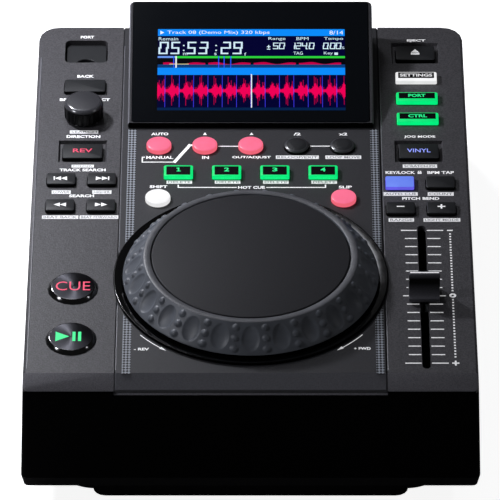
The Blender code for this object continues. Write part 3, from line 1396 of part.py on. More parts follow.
def make_memory_port(materials):
    x, y = -COLUMN_PLACE, deck_y(PORT_ROW)
    floor = DECK_Z - PORT_WELL_DEPTH
    cap_low = floor + SEAT_GAP
    cap_top = cap_low + PORT_CAP_THICKNESS
    shell_top = floor - SEAT_GAP
    shell_low = max(shell_top - PORT_SHELL_HEIGHT, KEY_BOARD_TOP_Z + SEAT_GAP)
    width, thickness = PORT_SHELL_WIDTH, PORT_SHELL_THICKNESS
    inner_w, inner_t = width - 2 * PORT_SHELL_WALL, thickness - 2 * PORT_SHELL_WALL

    bm = bmesh.new()
    block(bm, x, y, width, thickness, shell_low, shell_top)
    socket = finish("memory_port", bm, materials["steel"])
    tongue_y = y + inner_t / 2 - PORT_TONGUE_THICKNESS
    hollow = bmesh.new()
    block(hollow, x, y, inner_w, inner_t, shell_low + PORT_FLOOR, shell_top + OVERRUN)
    cut(socket, "port_mouth", hollow)
    tongue = bmesh.new()
    block(
        tongue, x, tongue_y, PORT_TONGUE_WIDTH, PORT_TONGUE_THICKNESS,
        shell_low + PORT_FLOOR / 2, shell_top - PORT_TONGUE_DROP,
    )
    join(socket, "port_tongue", tongue)

    outline = rounded(
        x, y, PORT_WELL_WIDTH - 2 * PORT_CAP_GAP, PORT_WELL_LENGTH - 2 * PORT_CAP_GAP,
        [PORT_WELL_CORNER - PORT_CAP_GAP] * 4, 3,
    )
    plate = bmesh.new()
    prism(plate, outline, cap_low, cap_top)
    cap = finish("port_cap", plate, materials["key"])
    notch = bmesh.new()
    front = y - PORT_WELL_LENGTH / 2 + PORT_CAP_GAP
    prism(notch, circle(x, front, PORT_CAP_NOTCH, SMALL_ROUND_STEPS), cap_low + PORT_CAP_THICKNESS / 3, cap_top + OVERRUN)
    cut(cap, "finger_notch", notch)
    plug = bmesh.new()
    plug_y = y - inner_t / 2 + SEAT_GAP + PORT_PLUG_THICKNESS / 2
    block(plug, x, plug_y, PORT_PLUG_WIDTH, PORT_PLUG_THICKNESS, shell_top - PORT_PLUG_LENGTH, cap_low + PORT_CAP_THICKNESS / 4)
    join(cap, "cap_plug", plug)


# The rear sockets and the power key

def power_stem_end():
    return DECK_REAR_Y - CASE_WALL - POWER_STEM_LENGTH


def make_rear_sockets(materials):
    board_top = MAIN_BOARD_TOP_Z + SEAT_GAP
    wall_in = DECK_REAR_Y - CASE_WALL - SEAT_GAP
    wall_out = DECK_REAR_Y + rear_flare(PHONO_LINE_Z)

    bm = bmesh.new()
    block(
        bm, PHONO_PLACE, wall_in - PHONO_BLOCK_LENGTH / 2, PHONO_BLOCK_WIDTH, PHONO_BLOCK_LENGTH,
        board_top, board_top + PHONO_BLOCK_HEIGHT,
    )
    phono = finish("phono_socket_pair", bm, materials["black"])
    barrels, bores = bmesh.new(), bmesh.new()
    tip = wall_out + PHONO_BARREL_LENGTH
    for side in (-1, 1):
        x = PHONO_PLACE + side * PHONO_STEP / 2
        cylinder_y(barrels, x, PHONO_LINE_Z, PHONO_BARREL_DIAMETER, wall_in - PHONO_BLOCK_LENGTH / 2, tip)
        cylinder_y(bores, x, PHONO_LINE_Z, PHONO_PIN_DIAMETER, tip - PHONO_BORE_DEPTH, tip + OVERRUN, SMALL_ROUND_STEPS // 2)
    join(phono, "phono_barrels", barrels)
    cut(phono, "phono_bores", bores)

    shell = bmesh.new()
    rear = DECK_REAR_Y + rear_flare(board_top)
    block(shell, DATA_PLACE, rear - DATA_LENGTH / 2, DATA_WIDTH, DATA_LENGTH, board_top, board_top + DATA_HEIGHT)
    data = finish("data_socket", shell, materials["steel"])
    mouth = bmesh.new()
    wall = DATA_WALL
    block(
        mouth, DATA_PLACE, rear - DATA_DEPTH / 2 + OVERRUN / 2, DATA_WIDTH - 2 * wall, DATA_DEPTH + OVERRUN,
        board_top + wall, board_top + DATA_HEIGHT - wall,
    )
    cut(data, "data_mouth", mouth)
    tongue = bmesh.new()
    middle_z = board_top + DATA_HEIGHT / 2
    block(
        tongue, DATA_PLACE, rear - DATA_DEPTH / 2 - wall, DATA_TONGUE_WIDTH, DATA_DEPTH,
        middle_z - DATA_TONGUE_HEIGHT / 2, middle_z + DATA_TONGUE_HEIGHT / 2,
    )
    join(data, "data_tongue", tongue)

    inlet = bmesh.new()
    block(inlet, DC_PLACE, rear - DC_LENGTH / 2, DC_WIDTH, DC_LENGTH, board_top, board_top + DC_HEIGHT)
    dc = finish("dc_inlet", inlet, materials["black"])
    dc_z = board_top + DC_HEIGHT / 2
    bore = bmesh.new()
    cylinder_y(bore, DC_PLACE, dc_z, DC_BORE_DIAMETER, rear - DC_BORE_DEPTH, rear + OVERRUN)
    cut(dc, "dc_bore", bore)
    pin = bmesh.new()
    cylinder_y(pin, DC_PLACE, dc_z, DC_PIN_DIAMETER, rear - DC_BORE_DEPTH - DATA_WALL, rear - DATA_WALL, SMALL_ROUND_STEPS // 2)
    join(dc, "dc_pin", pin)


def make_power_key(materials):
    wall_out = DECK_REAR_Y + rear_flare(PHONO_LINE_Z)
    wall_in = DECK_REAR_Y - CASE_WALL - SEAT_GAP
    tip = wall_out + POWER_KEY_PROUD
    edge = POWER_KEY_EDGE
    flange = POWER_KEY_WIDTH + 2 * KEY_FLANGE_MARGIN

    def square(size, y):
        half = size / 2
        return [
            (POWER_PLACE - half, y, PHONO_LINE_Z - half),
            (POWER_PLACE - half, y, PHONO_LINE_Z + half),
            (POWER_PLACE + half, y, PHONO_LINE_Z + half),
            (POWER_PLACE + half, y, PHONO_LINE_Z - half),
        ]

    bm = bmesh.new()
    stack(
        bm,
        [
            square(POWER_STEM_WIDTH, power_stem_end()),
            square(POWER_STEM_WIDTH, wall_in - KEY_FLANGE_THICKNESS),
            square(flange, wall_in - KEY_FLANGE_THICKNESS),
            square(flange, wall_in),
            square(POWER_KEY_WIDTH, wall_in),
            square(POWER_KEY_WIDTH, tip - edge),
            square(POWER_KEY_WIDTH - 2 * edge, tip),
        ],
    )
    bmesh.ops.recalc_face_normals(bm, faces=bm.faces)
    key = finish("power_key", bm, materials["key"])
    return pivoted(key, (POWER_PLACE, wall_out, PHONO_LINE_Z))


def main():
    clear_scene()
    materials = make_materials()
    make_top_case(materials)
    make_centre_panel(materials)
    make_bottom_cover(materials)
    make_feet(materials)
    make_screen(materials)
    make_keys(materials)
    make_jog_wheel(materials)
    make_jog_seat(materials)
    make_key_board(materials)
    make_main_board(materials)
    make_encoder(materials)
    make_fader(materials)
    make_memory_port(materials)
    make_rear_sockets(materials)
    make_power_key(materials)


main()
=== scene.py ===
"""DJ media player: finishes, lettering, display picture and fine forms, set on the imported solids."""

import math

import bmesh
import bpy
from bpy.props import FloatProperty, FloatVectorProperty, IntProperty, PointerProperty
from mathutils import Matrix, Vector


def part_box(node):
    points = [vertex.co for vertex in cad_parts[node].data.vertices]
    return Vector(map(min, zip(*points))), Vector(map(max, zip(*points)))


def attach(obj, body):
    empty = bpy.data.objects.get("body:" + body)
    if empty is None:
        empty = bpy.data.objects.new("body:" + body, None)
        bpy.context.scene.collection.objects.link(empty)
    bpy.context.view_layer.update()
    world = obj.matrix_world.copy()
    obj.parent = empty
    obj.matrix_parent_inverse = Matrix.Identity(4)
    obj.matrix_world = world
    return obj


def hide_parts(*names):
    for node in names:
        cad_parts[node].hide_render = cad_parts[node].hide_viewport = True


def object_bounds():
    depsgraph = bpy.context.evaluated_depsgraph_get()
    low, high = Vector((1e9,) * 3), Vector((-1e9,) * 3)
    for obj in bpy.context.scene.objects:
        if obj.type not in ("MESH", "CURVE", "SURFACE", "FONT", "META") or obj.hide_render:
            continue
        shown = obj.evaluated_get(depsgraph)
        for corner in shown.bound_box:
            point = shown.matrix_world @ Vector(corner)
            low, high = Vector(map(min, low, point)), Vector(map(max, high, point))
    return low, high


bl_info = {
    "name": "DJ Media Player Finish",
    "version": (1, 0, 0),
    "blender": (4, 5, 0),
    "location": "3D View > Sidebar > Player",
    "description": "Dresses a tabletop DJ media player: case, keys, jog wheel, display and stage",
    "category": "Object",
}

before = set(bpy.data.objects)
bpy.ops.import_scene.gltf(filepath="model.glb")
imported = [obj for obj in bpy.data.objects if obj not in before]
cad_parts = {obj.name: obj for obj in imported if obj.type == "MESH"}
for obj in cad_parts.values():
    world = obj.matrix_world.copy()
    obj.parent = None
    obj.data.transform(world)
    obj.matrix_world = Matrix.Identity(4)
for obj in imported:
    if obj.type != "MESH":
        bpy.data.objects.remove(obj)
CAD_LOW, CAD_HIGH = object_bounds()
MM = 0.001

# Places that the solids fix, and measures that several pieces share
JOG_LOW, JOG_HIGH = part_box("jog_touch_plate")
JOG_Y = (JOG_LOW.y + JOG_HIGH.y) / 2
JOG_TOP = JOG_HIGH.z
JOG_PLACE = 71.6
JOG_RIM, JOG_SKIRT = 51.4 * MM, 61.7 * MM
DECK_FRONT = JOG_Y - JOG_PLACE * MM
COLLAR_RISE = 1.5 * MM
DECK_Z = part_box("jog_collar")[1].z - COLLAR_RISE
CHAMFER_Z = DECK_Z - 4.6 * MM
KEY_POST = 1.8 * MM
FLANGE_Z = DECK_Z - 3.3 * MM
FLANGE_FOOT = FLANGE_Z - 1.0 * MM
FLANGE_RIM = 0.9 * MM
SCREEN_TILT = math.radians(14.55)
PRINT_THICK = 0.03 * MM


def deck_y(place):
    """The Y of a place in millimetres from the deck's front edge."""
    return DECK_FRONT + place * MM


def spot(x, place):
    """A point of the deck, in millimetres from its middle line and from its front edge."""
    return x * MM, deck_y(place)


def measures(node):
    """A solid's middle in X and Y, its lowest and highest Z, and half its width."""
    low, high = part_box(node)
    return (low.x + high.x) / 2, (low.y + high.y) / 2, low.z, high.z, (high.x - low.x) / 2


# Colour and shader nodes

def linear(code):
    """An sRGB hex colour as linear red, green and blue."""
    channels = [int(code[i : i + 2], 16) / 255 for i in (1, 3, 5)]
    return [c / 12.92 if c <= 0.04045 else ((c + 0.055) / 1.055) ** 2.4 for c in channels]


def colour(name, description, code):
    return FloatVectorProperty(
        name=name, description=description, subtype="COLOR", size=3, min=0, max=1, default=linear(code)
    )


def length(name, description, default):
    return FloatProperty(name=name, description=description, unit="LENGTH", min=0, default=default)


def power(name, description, default):
    return FloatProperty(name=name, description=description, unit="POWER", default=default)


def add(tree, kind, links=None, **settings):
    """Adds one node with its settings and its sockets' values or links."""
    node = tree.nodes.new(kind)
    for key, value in settings.items():
        setattr(node, key, value)
    for socket, value in (links or {}).items():
        if isinstance(value, bpy.types.NodeSocket):
            tree.links.new(value, node.inputs[socket])
        else:
            node.inputs[socket].default_value = value
    return node


def shade(tone, share):
    """A colour made lighter or darker, with full alpha."""
    return (*[min(1.0, channel * share) for channel in tone], 1.0)


def start(name, tone, roughness, **sockets):
    """A material with a Principled shader, and its tree, shader and object coordinates."""
    material = bpy.data.materials.new(name)
    material.use_nodes = True
    tree = material.node_tree
    shader = tree.nodes["Principled BSDF"]
    shader.inputs["Base Color"].default_value = (*tone, 1)
    shader.inputs["Roughness"].default_value = roughness
    for socket, value in sockets.items():
        shader.inputs[socket.replace("_", " ")].default_value = value
    where = add(tree, "ShaderNodeTexCoord").outputs["Object"]
    return material, tree, shader, where


def noise(tree, where, size, detail=2.0):
    """Noise whose blotches are about this size in metres."""
    made = add(tree, "ShaderNodeTexNoise", {"Vector": where, "Scale": 1 / size, "Detail": detail})
    return made.outputs["Fac"]


def bands(tree, where, step, distortion=0.0, **settings):
    """Bands or rings this far apart in metres; at a scale of 1 they would be 0.314 apart."""
    sockets = {"Vector": where, "Scale": 0.314 / step, "Distortion": distortion}
    return add(tree, "ShaderNodeTexWave", sockets, **settings).outputs["Fac"]


def bump(tree, shader, height, strength, depth):
    relief = add(tree, "ShaderNodeBump", {"Height": height, "Strength": strength, "Distance": depth})
    tree.links.new(relief.outputs["Normal"], shader.inputs["Normal"])


def spread(tree, value, low, high, near=0.0, far=1.0):
    """Takes a value from the range near to far into the range low to high."""
    sockets = {"Value": value, "From Min": near, "From Max": far, "To Min": low, "To Max": high}
    return add(tree, "ShaderNodeMapRange", sockets).outputs["Result"]


def blend(tree, share, low, high, **settings):
    """A colour between two, by a share."""
    sockets = {"Factor": share, 6: low, 7: high}
    return add(tree, "ShaderNodeMix", sockets, data_type="RGBA", **settings).outputs[2]


def reckon(tree, operation, first, second):
    """One step of arithmetic on two values."""
    return add(tree, "ShaderNodeMath", {0: first, 1: second}, operation=operation).outputs["Value"]


def vary(tree, shader, value, tone, low, high):
    """Spreads the base colour between two shares of a tone, and gives that colour."""
    share = spread(tree, value, 0.0, 1.0, 0.35, 0.65)
    made = blend(tree, share, shade(tone, low), shade(tone, high))
    tree.links.new(made, shader.inputs["Base Color"])
    return made


def grained(name, tone, rough, grain, tones, relief, **sockets):
    """A surface with a grain of a size and detail, which moves its tone and has a strength and depth."""
    material, tree, shader, where = start(name, tone, rough, **sockets)
    fleck = noise(tree, where, grain[0] * MM, grain[1])
    vary(tree, shader, fleck, tone, *tones)
    bump(tree, shader, fleck, relief[0], relief[1] * MM)
    return material


def polished(name, tone, shine, size, detail, low, high):
    """A polished surface with a haze of a size in metres, which moves its roughness from low to high."""
    material, tree, shader, where = start(name, tone, low, Specular_IOR_Level=shine)
    haze = noise(tree, where, size, detail)
    tree.links.new(spread(tree, haze, low, high), shader.inputs["Roughness"])
    return material


# Moulded and pressed plastics

def deck_abs(tone):
    """ABS moulded on a spark-eroded tool: its grain breaks the light into bright and dark specks.

    The real grain is near 0.2 mm; it is drawn at 0.7 mm, as coarse as it needs to show."""
    return grained(
        "spark-grained ABS", tone, 0.5, (0.7, 1.0), (0.72, 1.28), (1.0, 0.12), Specular_IOR_Level=0.35
    )


def black_abs(name, tone, rough=0.5, shine=0.18):
    """ABS moulded with a light texture and little shine, so that it reads as a dark base."""
    return grained(name, tone, rough, (0.5, 2.0), (0.8, 1.25), (0.15, 0.03), Specular_IOR_Level=shine)


def satin_panel(name, tone, shine=0.3):
    """Screen-printed polycarbonate with a satin lacquer: smooth, with the faintest mottle of the ink."""
    return grained(name, tone, 0.48, (0.6, 3.0), (0.88, 1.12), (0.08, 0.02), Specular_IOR_Level=shine)


def piano_black(tone, shine=0.5):
    """Polished black acrylic: a dark mirror, whose rounded edges catch the lamps as white arcs."""
    return polished("polished black acrylic", tone, shine, 6 * MM, 4.0, 0.07, 0.16)


def coated_glass(tone):
    """Window glass over black paint with an anti-glare coat: nearly no reflection, a deep blue black."""
    return polished("coated window glass", tone, 0.04, 25 * MM, 2.0, 0.1, 0.18)


# Rubbers and lit caps

def key_rubber(name, tone, rough=0.42, shine=0.22):
    """Silicone key rubber with a sprayed matt coat: soft edges of light and a fine dust of grain."""
    return grained(name, tone, rough, (0.3, 2.0), (0.9, 1.12), (0.1, 0.02), Specular_IOR_Level=shine)


def grip_rubber(name, tone):
    """Rubber pressed in a blasted mould: matt, a little blue, with a pale bloom in the grain."""
    material, tree, shader, where = start(name, tone, 0.45, Specular_IOR_Level=0.45)
    vary(tree, shader, noise(tree, where, 9 * MM, 3.0), tone, 0.85, 1.15)
    bump(tree, shader, noise(tree, where, 0.35 * MM), 0.12, 0.03 * MM)
    return material


def lit_cap(name, tone, glow):
    """Milky polycarbonate lit from under: a faint cloud, and no glow where it stands in the deck, which is
    painted shade in the hole round the key.
    """
    material, tree, shader, where = start(
        name, shade(tone, 0.15)[:3], 0.35, Specular_IOR_Level=0.3, Emission_Strength=glow
    )
    cloud = spread(tree, noise(tree, where, 5 * MM), 0.0, 1.0, 0.3, 0.7)
    milk = blend(tree, cloud, shade(tone, 0.93), shade(tone, 1.07))
    # Painted shade: below the deck's top the glow is cut to black.
    height = add(tree, "ShaderNodeSeparateXYZ", {"Vector": where}).outputs["Z"]
    above = reckon(tree, "GREATER_THAN", height, DECK_Z + 0.1 * MM)
    tree.links.new(blend(tree, above, shade(tone, 0.01), milk), shader.inputs["Emission Color"])
    return material


def glow_ink(name, tone):
    """Back-lit ink: the letter itself shines."""
    material, tree, shader, where = start(name, shade(tone, 0.2)[:3], 0.5, Emission_Strength=1.0)
    cloud = spread(tree, noise(tree, where, 1.5 * MM), 0.0, 1.0)
    tree.links.new(blend(tree, cloud, shade(tone, 0.9), shade(tone, 1.1)), shader.inputs["Emission Color"])
    return material


def pad_ink(name, tone, lift=0.0):
    """Pad-printed ink, a little thin where the pad lifted off; a lift adds a painted glow, so that it shines
    as white does.
    """
    material, tree, shader, where = start(
        name, tone, 0.55, Specular_IOR_Level=0.2, Emission_Strength=lift
    )
    made = vary(tree, shader, noise(tree, where, 0.7 * MM, 3.0), tone, 0.86, 1.05)
    # Painted glow: the ink's own colour shines at the lift's strength.
    tree.links.new(made, shader.inputs["Emission Color"])
    return material


def fine_mesh_print(tone, ground):
    """A printed net of silver ink: lozenges 1.6 mm wide and 1.9 mm long, in staggered rows on black."""
    material, tree, shader, where = start("printed net", tone, 0.4, Specular_IOR_Level=0.3)
    sides = add(tree, "ShaderNodeSeparateXYZ", {"Vector": where}).outputs
    across = reckon(tree, "MULTIPLY", sides["X"], 1 / (1.6 * MM))
    along = reckon(tree, "MULTIPLY", sides["Y"], 1 / (1.9 * MM))
    slanted = add(tree, "ShaderNodeCombineXYZ", {
        "X": reckon(tree, "ADD", across, along), "Y": reckon(tree, "SUBTRACT", across, along), "Z": 0.5
    })
    squares = add(tree, "ShaderNodeTexChecker", {
        "Vector": slanted.outputs["Vector"], "Scale": 1.0, "Color1": (*tone, 1), "Color2": (*ground, 1)
    })
    tree.links.new(squares.outputs["Color"], shader.inputs["Base Color"])
    return material


# Metals, boards and the turned key caps

def plated_steel(name, tone, rough):
    """Zinc-plated steel sheet: silver grey with soft cloudy grain."""
    return grained(name, tone, rough, (2.5, 4.0), (0.85, 1.1), (0.05, 0.02), Metallic=1.0)


def circuit_board(tone):
    """Glass-epoxy board with green solder mask: a fine glass weave shows through the mask."""
    material, tree, shader, where = start("solder-masked board", tone, 0.35)
    # Glass cloth has a thread about every 0.5 mm; it is drawn at 0.9 mm
    vary(tree, shader, bands(tree, where, 0.9 * MM, 1.0), tone, 0.8, 1.2)
    return material


def turned_cap(name, tone, centre):
    """A key cap with a spun face: fine rings, across which the light draws two fans."""
    material, tree, shader, where = start(name, tone, 0.32, Metallic=0.9, Anisotropic=0.85)
    tangent = add(tree, "ShaderNodeTangent", direction_type="RADIAL", axis="Z")
    tree.links.new(tangent.outputs["Tangent"], shader.inputs["Tangent"])
    centred = add(tree, "ShaderNodeMapping", {"Vector": where, "Location": (-centre[0], -centre[1], 0)})
    rings = bands(tree, centred.outputs["Vector"], 0.4 * MM, wave_type="RINGS", rings_direction="Z")
    vary(tree, shader, rings, tone, 0.9, 1.1)
    bump(tree, shader, rings, 0.05, 0.01 * MM)
    return material


def display_picture():
    """Liquid-crystal picture behind its window: colours from the ink attribute, with faint pixel rows."""
    material, tree, shader, where = start(
        "lit display picture", [0, 0, 0], 0.3, Specular_IOR_Level=0.02, Emission_Strength=1.0
    )
    ink = add(tree, "ShaderNodeVertexColor", layer_name="ink").outputs["Color"]
    # The real rows are 0.2 mm apart; they are drawn at 0.6 mm
    level = spread(tree, bands(tree, where, 0.6 * MM, bands_direction="Y"), 0.94, 1.0)
    dim = blend(tree, 1.0, ink, level, blend_type="MULTIPLY")
    tree.links.new(dim, shader.inputs["Emission Color"])
    return material


# Making pieces

def piece(name, bm, body, materials, angle=35, nodes=(), level_angle=None):
    """Turns a bmesh into a piece that rides on a body and may stand for some solids.

    Edges over the angle stay hard; the edges of level faces may have a smaller limit."""
    bmesh.ops.recalc_face_normals(bm, faces=bm.faces)
    for face in bm.faces:
        face.smooth = True
    for edge in bm.edges:
        level = level_angle and any(abs(face.normal.z) > 0.999 for face in edge.link_faces)
        edge.smooth = edge.calc_face_angle(0) < math.radians(level_angle if level else angle)
    mesh = bpy.data.meshes.new(name)
    bm.to_mesh(mesh)
    bm.free()
    for material in materials:
        mesh.materials.append(material)
    obj = bpy.data.objects.new(name, mesh)
    bpy.context.scene.collection.objects.link(obj)
    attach(obj, body)
    if nodes:
        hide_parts(*nodes)
    return obj


def smoothed(node, materials, edge=0.0, angle=32, body="case", pick=None):
    """A merged copy of a solid: smooth curves, level faces kept level, and edges rounded if asked."""
    bm = bmesh.new()
    bm.from_mesh(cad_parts[node].data)
    bmesh.ops.remove_doubles(bm, verts=bm.verts, dist=0.001 * MM)
    if edge:
        bmesh.ops.dissolve_limit(bm, angle_limit=math.radians(0.5), verts=bm.verts, edges=bm.edges)
    if pick:
        for face in bm.faces:
            face.material_index = pick(face)
    obj = piece(f"{node}_finish", bm, body, materials, angle, (node,), 5)
    if edge:
        modifier = obj.modifiers.new("soft edges", "BEVEL")
        modifier.width = edge
        modifier.segments = 2
        modifier.limit_method = "ANGLE"
        modifier.angle_limit = math.radians(angle)


def paint(node, material):
    """Puts a finish on a solid that stays as it is."""
    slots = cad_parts[node].data.materials
    slots.clear()
    slots.append(material)


def tinted(verts, index):
    """The faces at these corners, set to one of the piece's materials."""
    faces = {face for vert in verts for face in vert.link_faces}
    for face in faces:
        face.material_index = index
    return faces


def bevel(bm, edges, offset, segments=3):
    bmesh.ops.bevel(
        bm, geom=edges, offset=offset, offset_type="OFFSET", segments=segments, profile=0.5, affect="EDGES",
        material=-1,
    )


def slab(bm, x, y, z, width, depth, thick=PRINT_THICK, index=0, turn=0.0):
    """A thin box, such as a printed line; z is its underside."""
    place = Matrix.Translation((x, y, z + thick / 2)) @ Matrix.Rotation(turn, 4, "Z")
    made = bmesh.ops.create_cube(bm, size=1, matrix=place @ Matrix.Diagonal((width, depth, thick, 1)))
    return tinted(made["verts"], index)


def print_box(bm, x, place, width, height, level=0.0, index=0, thick=1.0):
    """A printed box of the deck in millimetres; level and thickness are counted in layers of ink."""
    z = DECK_Z + level * PRINT_THICK
    slab(bm, *spot(x, place), z, width * MM, height * MM, thick * PRINT_THICK, index)


def line(bm, ends, z, wide):
    """A printed stroke between two points."""
    (x0, y0), (x1, y1) = ends
    long = math.hypot(x1 - x0, y1 - y0) + wide
    slab(bm, (x0 + x1) / 2, (y0 + y1) / 2, z, long, wide, turn=math.atan2(y1 - y0, x1 - x0))


def pulled_face(bm, corners, way):
    """Makes a face and pulls it along a way into a solid, whose corners it gives."""
    verts = [bm.verts.new(corner) for corner in corners]
    made = bmesh.ops.extrude_face_region(bm, geom=[bm.faces.new(verts)])
    moved = [item for item in made["geom"] if isinstance(item, bmesh.types.BMVert)]
    bmesh.ops.translate(bm, vec=way, verts=moved)
    return verts + moved


def flat_shape(bm, corners, z, thick=PRINT_THICK, index=0):
    """A flat sign, such as an arrow, pulled up to the thickness of its ink."""
    return tinted(pulled_face(bm, [(x, y, z) for x, y in corners], (0, 0, thick)), index)


def words(bm, text, x, y, z, width, height, bold=0.02, index=0, thick=PRINT_THICK):
    """Lettering that fills a box of this width and height, centred on x and y."""
    curve = bpy.data.curves.new("lettering", "FONT")
    curve.body = text
    curve.size = 1
    curve.offset = bold
    curve.extrude = 0.5
    curve.resolution_u = 3
    holder = bpy.data.objects.new("lettering", curve)
    bpy.context.scene.collection.objects.link(holder)
    bpy.context.view_layer.update()
    mesh = bpy.data.meshes.new_from_object(holder)
    bpy.data.objects.remove(holder)
    bpy.data.curves.remove(curve)
    xs = [vert.co.x for vert in mesh.vertices]
    ys = [vert.co.y for vert in mesh.vertices]
    scale = (width / (max(xs) - min(xs)), height / (max(ys) - min(ys)), thick)
    middle = (-(max(xs) + min(xs)) / 2, -(max(ys) + min(ys)) / 2, 0.5)
    mesh.transform(
        Matrix.Translation((x, y, z)) @ Matrix.Diagonal((*scale, 1)) @ Matrix.Translation(middle)
    )
    old = set(bm.faces)
    bm.from_mesh(mesh)
    bpy.data.meshes.remove(mesh)
    faces = [face for face in bm.faces if face not in old]
    for face in faces:
        face.material_index = index
    return faces


def cap_block(bm, x, y, width, depth, low, high, corner, edge):
    """A rectangular cap with rounded corners and a softened top rim, made in an empty bmesh."""
    slab(bm, x, y, low, width, depth, high - low)
    half = (high - low) / 2
    bevel(bm, [item for item in bm.edges if abs(item.verts[0].co.z - item.verts[1].co.z) > half], corner, 4)
    rim = [
        item for item in bm.edges
        if all(abs(vert.co.z - high) < 1e-7 for vert in item.verts)
        and any(abs(face.normal.z) < 0.5 for face in item.link_faces)
    ]
    bevel(bm, rim, edge)


def turned_form(bm, profile, steps, centre=(0.0, 0.0)):
    """Spins a section of (radius, z) points all the way round an upright axis."""
    verts = [bm.verts.new((radius, 0, z)) for radius, z in profile]
    edges = [bm.edges.new(pair) for pair in zip(verts, verts[1:])]
    if profile[0][0] > 0 and profile[-1][0] > 0:
        edges.append(bm.edges.new((verts[-1], verts[0])))
    bmesh.ops.spin(
        bm, geom=verts + edges, axis=(0, 0, 1), cent=(0, 0, 0), angle=math.tau, steps=steps, use_merge=True
    )
    bmesh.ops.remove_doubles(bm, verts=bm.verts, dist=0.0005 * MM)
    bmesh.ops.translate(bm, vec=(*centre, 0), verts=bm.verts)


def rounded_profile(points, radius, steps=3):
    """Softens the corners of a section; the first and last points stay."""
    soft = [points[0]]
    for before, here, after in zip(points, points[1:], points[2:]):
        a, b, c = Vector(before), Vector(here), Vector(after)
        reach = min(radius, (a - b).length / 2.1, (c - b).length / 2.1)
        enter, leave = b + (a - b).normalized() * reach, b + (c - b).normalized() * reach
        for step in range(steps + 1):
            t = step / steps
            soft.append(tuple(enter.lerp(b, t).lerp(b.lerp(leave, t), t)))
    soft.append(points[-1])
    return soft


# Sizes and colours that a user may change

class PlayerCase(bpy.types.PropertyGroup):
    deck: colour("Deck", "Charcoal of the deck's two side panels", "#434245")
    panel: colour("Panel", "Charcoal of the centre panel", "#303033")
    # Black plastic darkened to near pure black: painted shade on the unlit walls, the base and the display
    # housing's front
    wall: colour("Walls", "Black of the walls and base", "#020202")
    # The two front slopes: the deck's and the panel's own charcoal, set lighter as painted light
    slope: colour("Slope", "Front slope under the deck's edge", "#6a696e")
    fall: colour("Panel slope", "Front slope of the centre panel", "#57575c")
    # Lighter than the deck: painted highlight on the rounded edges
    bead_highlight: colour("Beads", "Rounded edges beside the seams", "#626267")
    ink: colour("Ink", "White of the lettering", "#f6f6f6")
    # Lighter than the housing: painted highlight on its rims
    rim: colour("Rim", "Rim of the display's housing, lighter as painted highlight", "#6c6c72")
    net: colour("Net", "Silver of the printed net", "#969ba3")


class PlayerKeys(bpy.types.PropertyGroup):
    rubber: colour("Rubber", "Unlit keys", "#222325")
    red: colour("Red", "Red lit keys", "#ff7294")
    green: colour("Green", "Green lit keys", "#00f07f")
    blue: colour("Blue", "Blue lit key", "#6f8cff")
    white: colour("White", "White lit keys", "#f4f4f5")
    corner: length("Corner", "Corner radius of the caps", 0.9 * MM)
    edge: length("Edge", "Rounding of the caps' rims", 0.45 * MM)


class PlayerJog(bpy.types.PropertyGroup):
    rubber: colour("Grip", "Grip ring", "#5d6168")
    rim: colour("Rim", "Flat rim inside the grip ring", "#545559")
    plate: colour("Plate", "Touch plate", "#29292c")
    ovals: IntProperty(name="Ovals", description="Ovals round the grip ring", default=24, min=6)
    oval_width: length("Oval width", "Width of an oval", 8.4 * MM)
    oval_length: length("Oval length", "Length of an oval along the skirt", 12.2 * MM)
    oval_depth: length("Oval depth", "Depth of an oval", 1.1 * MM)
    dome_width: length("Dome width", "Diameter of a dome", 3.5 * MM)
    dome_height: length("Dome height", "Height of a dome", 0.9 * MM)
    dome_step: length("Dome step", "Distance between the domes of a column", 5.1 * MM)


class PlayerDisplay(bpy.types.PropertyGroup):
    glass: colour("Glass", "Window over the display", "#0c0e11")
    bar: colour("Bar", "Title bar and wave band", "#0a8cff")
    ground: colour("Ground", "Dark ground of the picture", "#020230")
    wave: colour("Wave", "Sound wave", "#f20057")
    text: colour("Text", "Lettering in the display", "#d8f2ff")
    width: length("Width", "Lit width", 94.2 * MM)
    height: length("Height", "Lit height", 52.5 * MM)


class PlayerFader(bpy.types.PropertyGroup):
    cap: colour("Cap", "Slider cap", "#5c5c62")
    ticks: IntProperty(name="Ticks", description="Marks beside the slot", default=17, min=3)
    low: FloatProperty(name="First tick", description="Place of the front tick in millimetres", default=7.3)
    high: FloatProperty(name="Last tick", description="Place of the rear tick in millimetres", default=109.6)


class PlayerStage(bpy.types.PropertyGroup):
    floor: colour("Floor", "Floor and backdrop", "#fafafa")
    key_power: power("Key lamp", "Power of the lamp over the left rear corner", 1.1)
    fill_power: power("Side lamps", "Power of the left side lamp; the right one has a tenth", 2.1)
    card_power: power("Rear card", "Power of the long card behind the left side", 1.0)
    world: FloatProperty(name="World", description="Strength of the light from all round", default=0.045)


SHEETS = {
    "player_case": PlayerCase,
    "player_keys": PlayerKeys,
    "player_jog": PlayerJog,
    "player_display": PlayerDisplay,
    "player_fader": PlayerFader,
    "player_stage": PlayerStage,
}


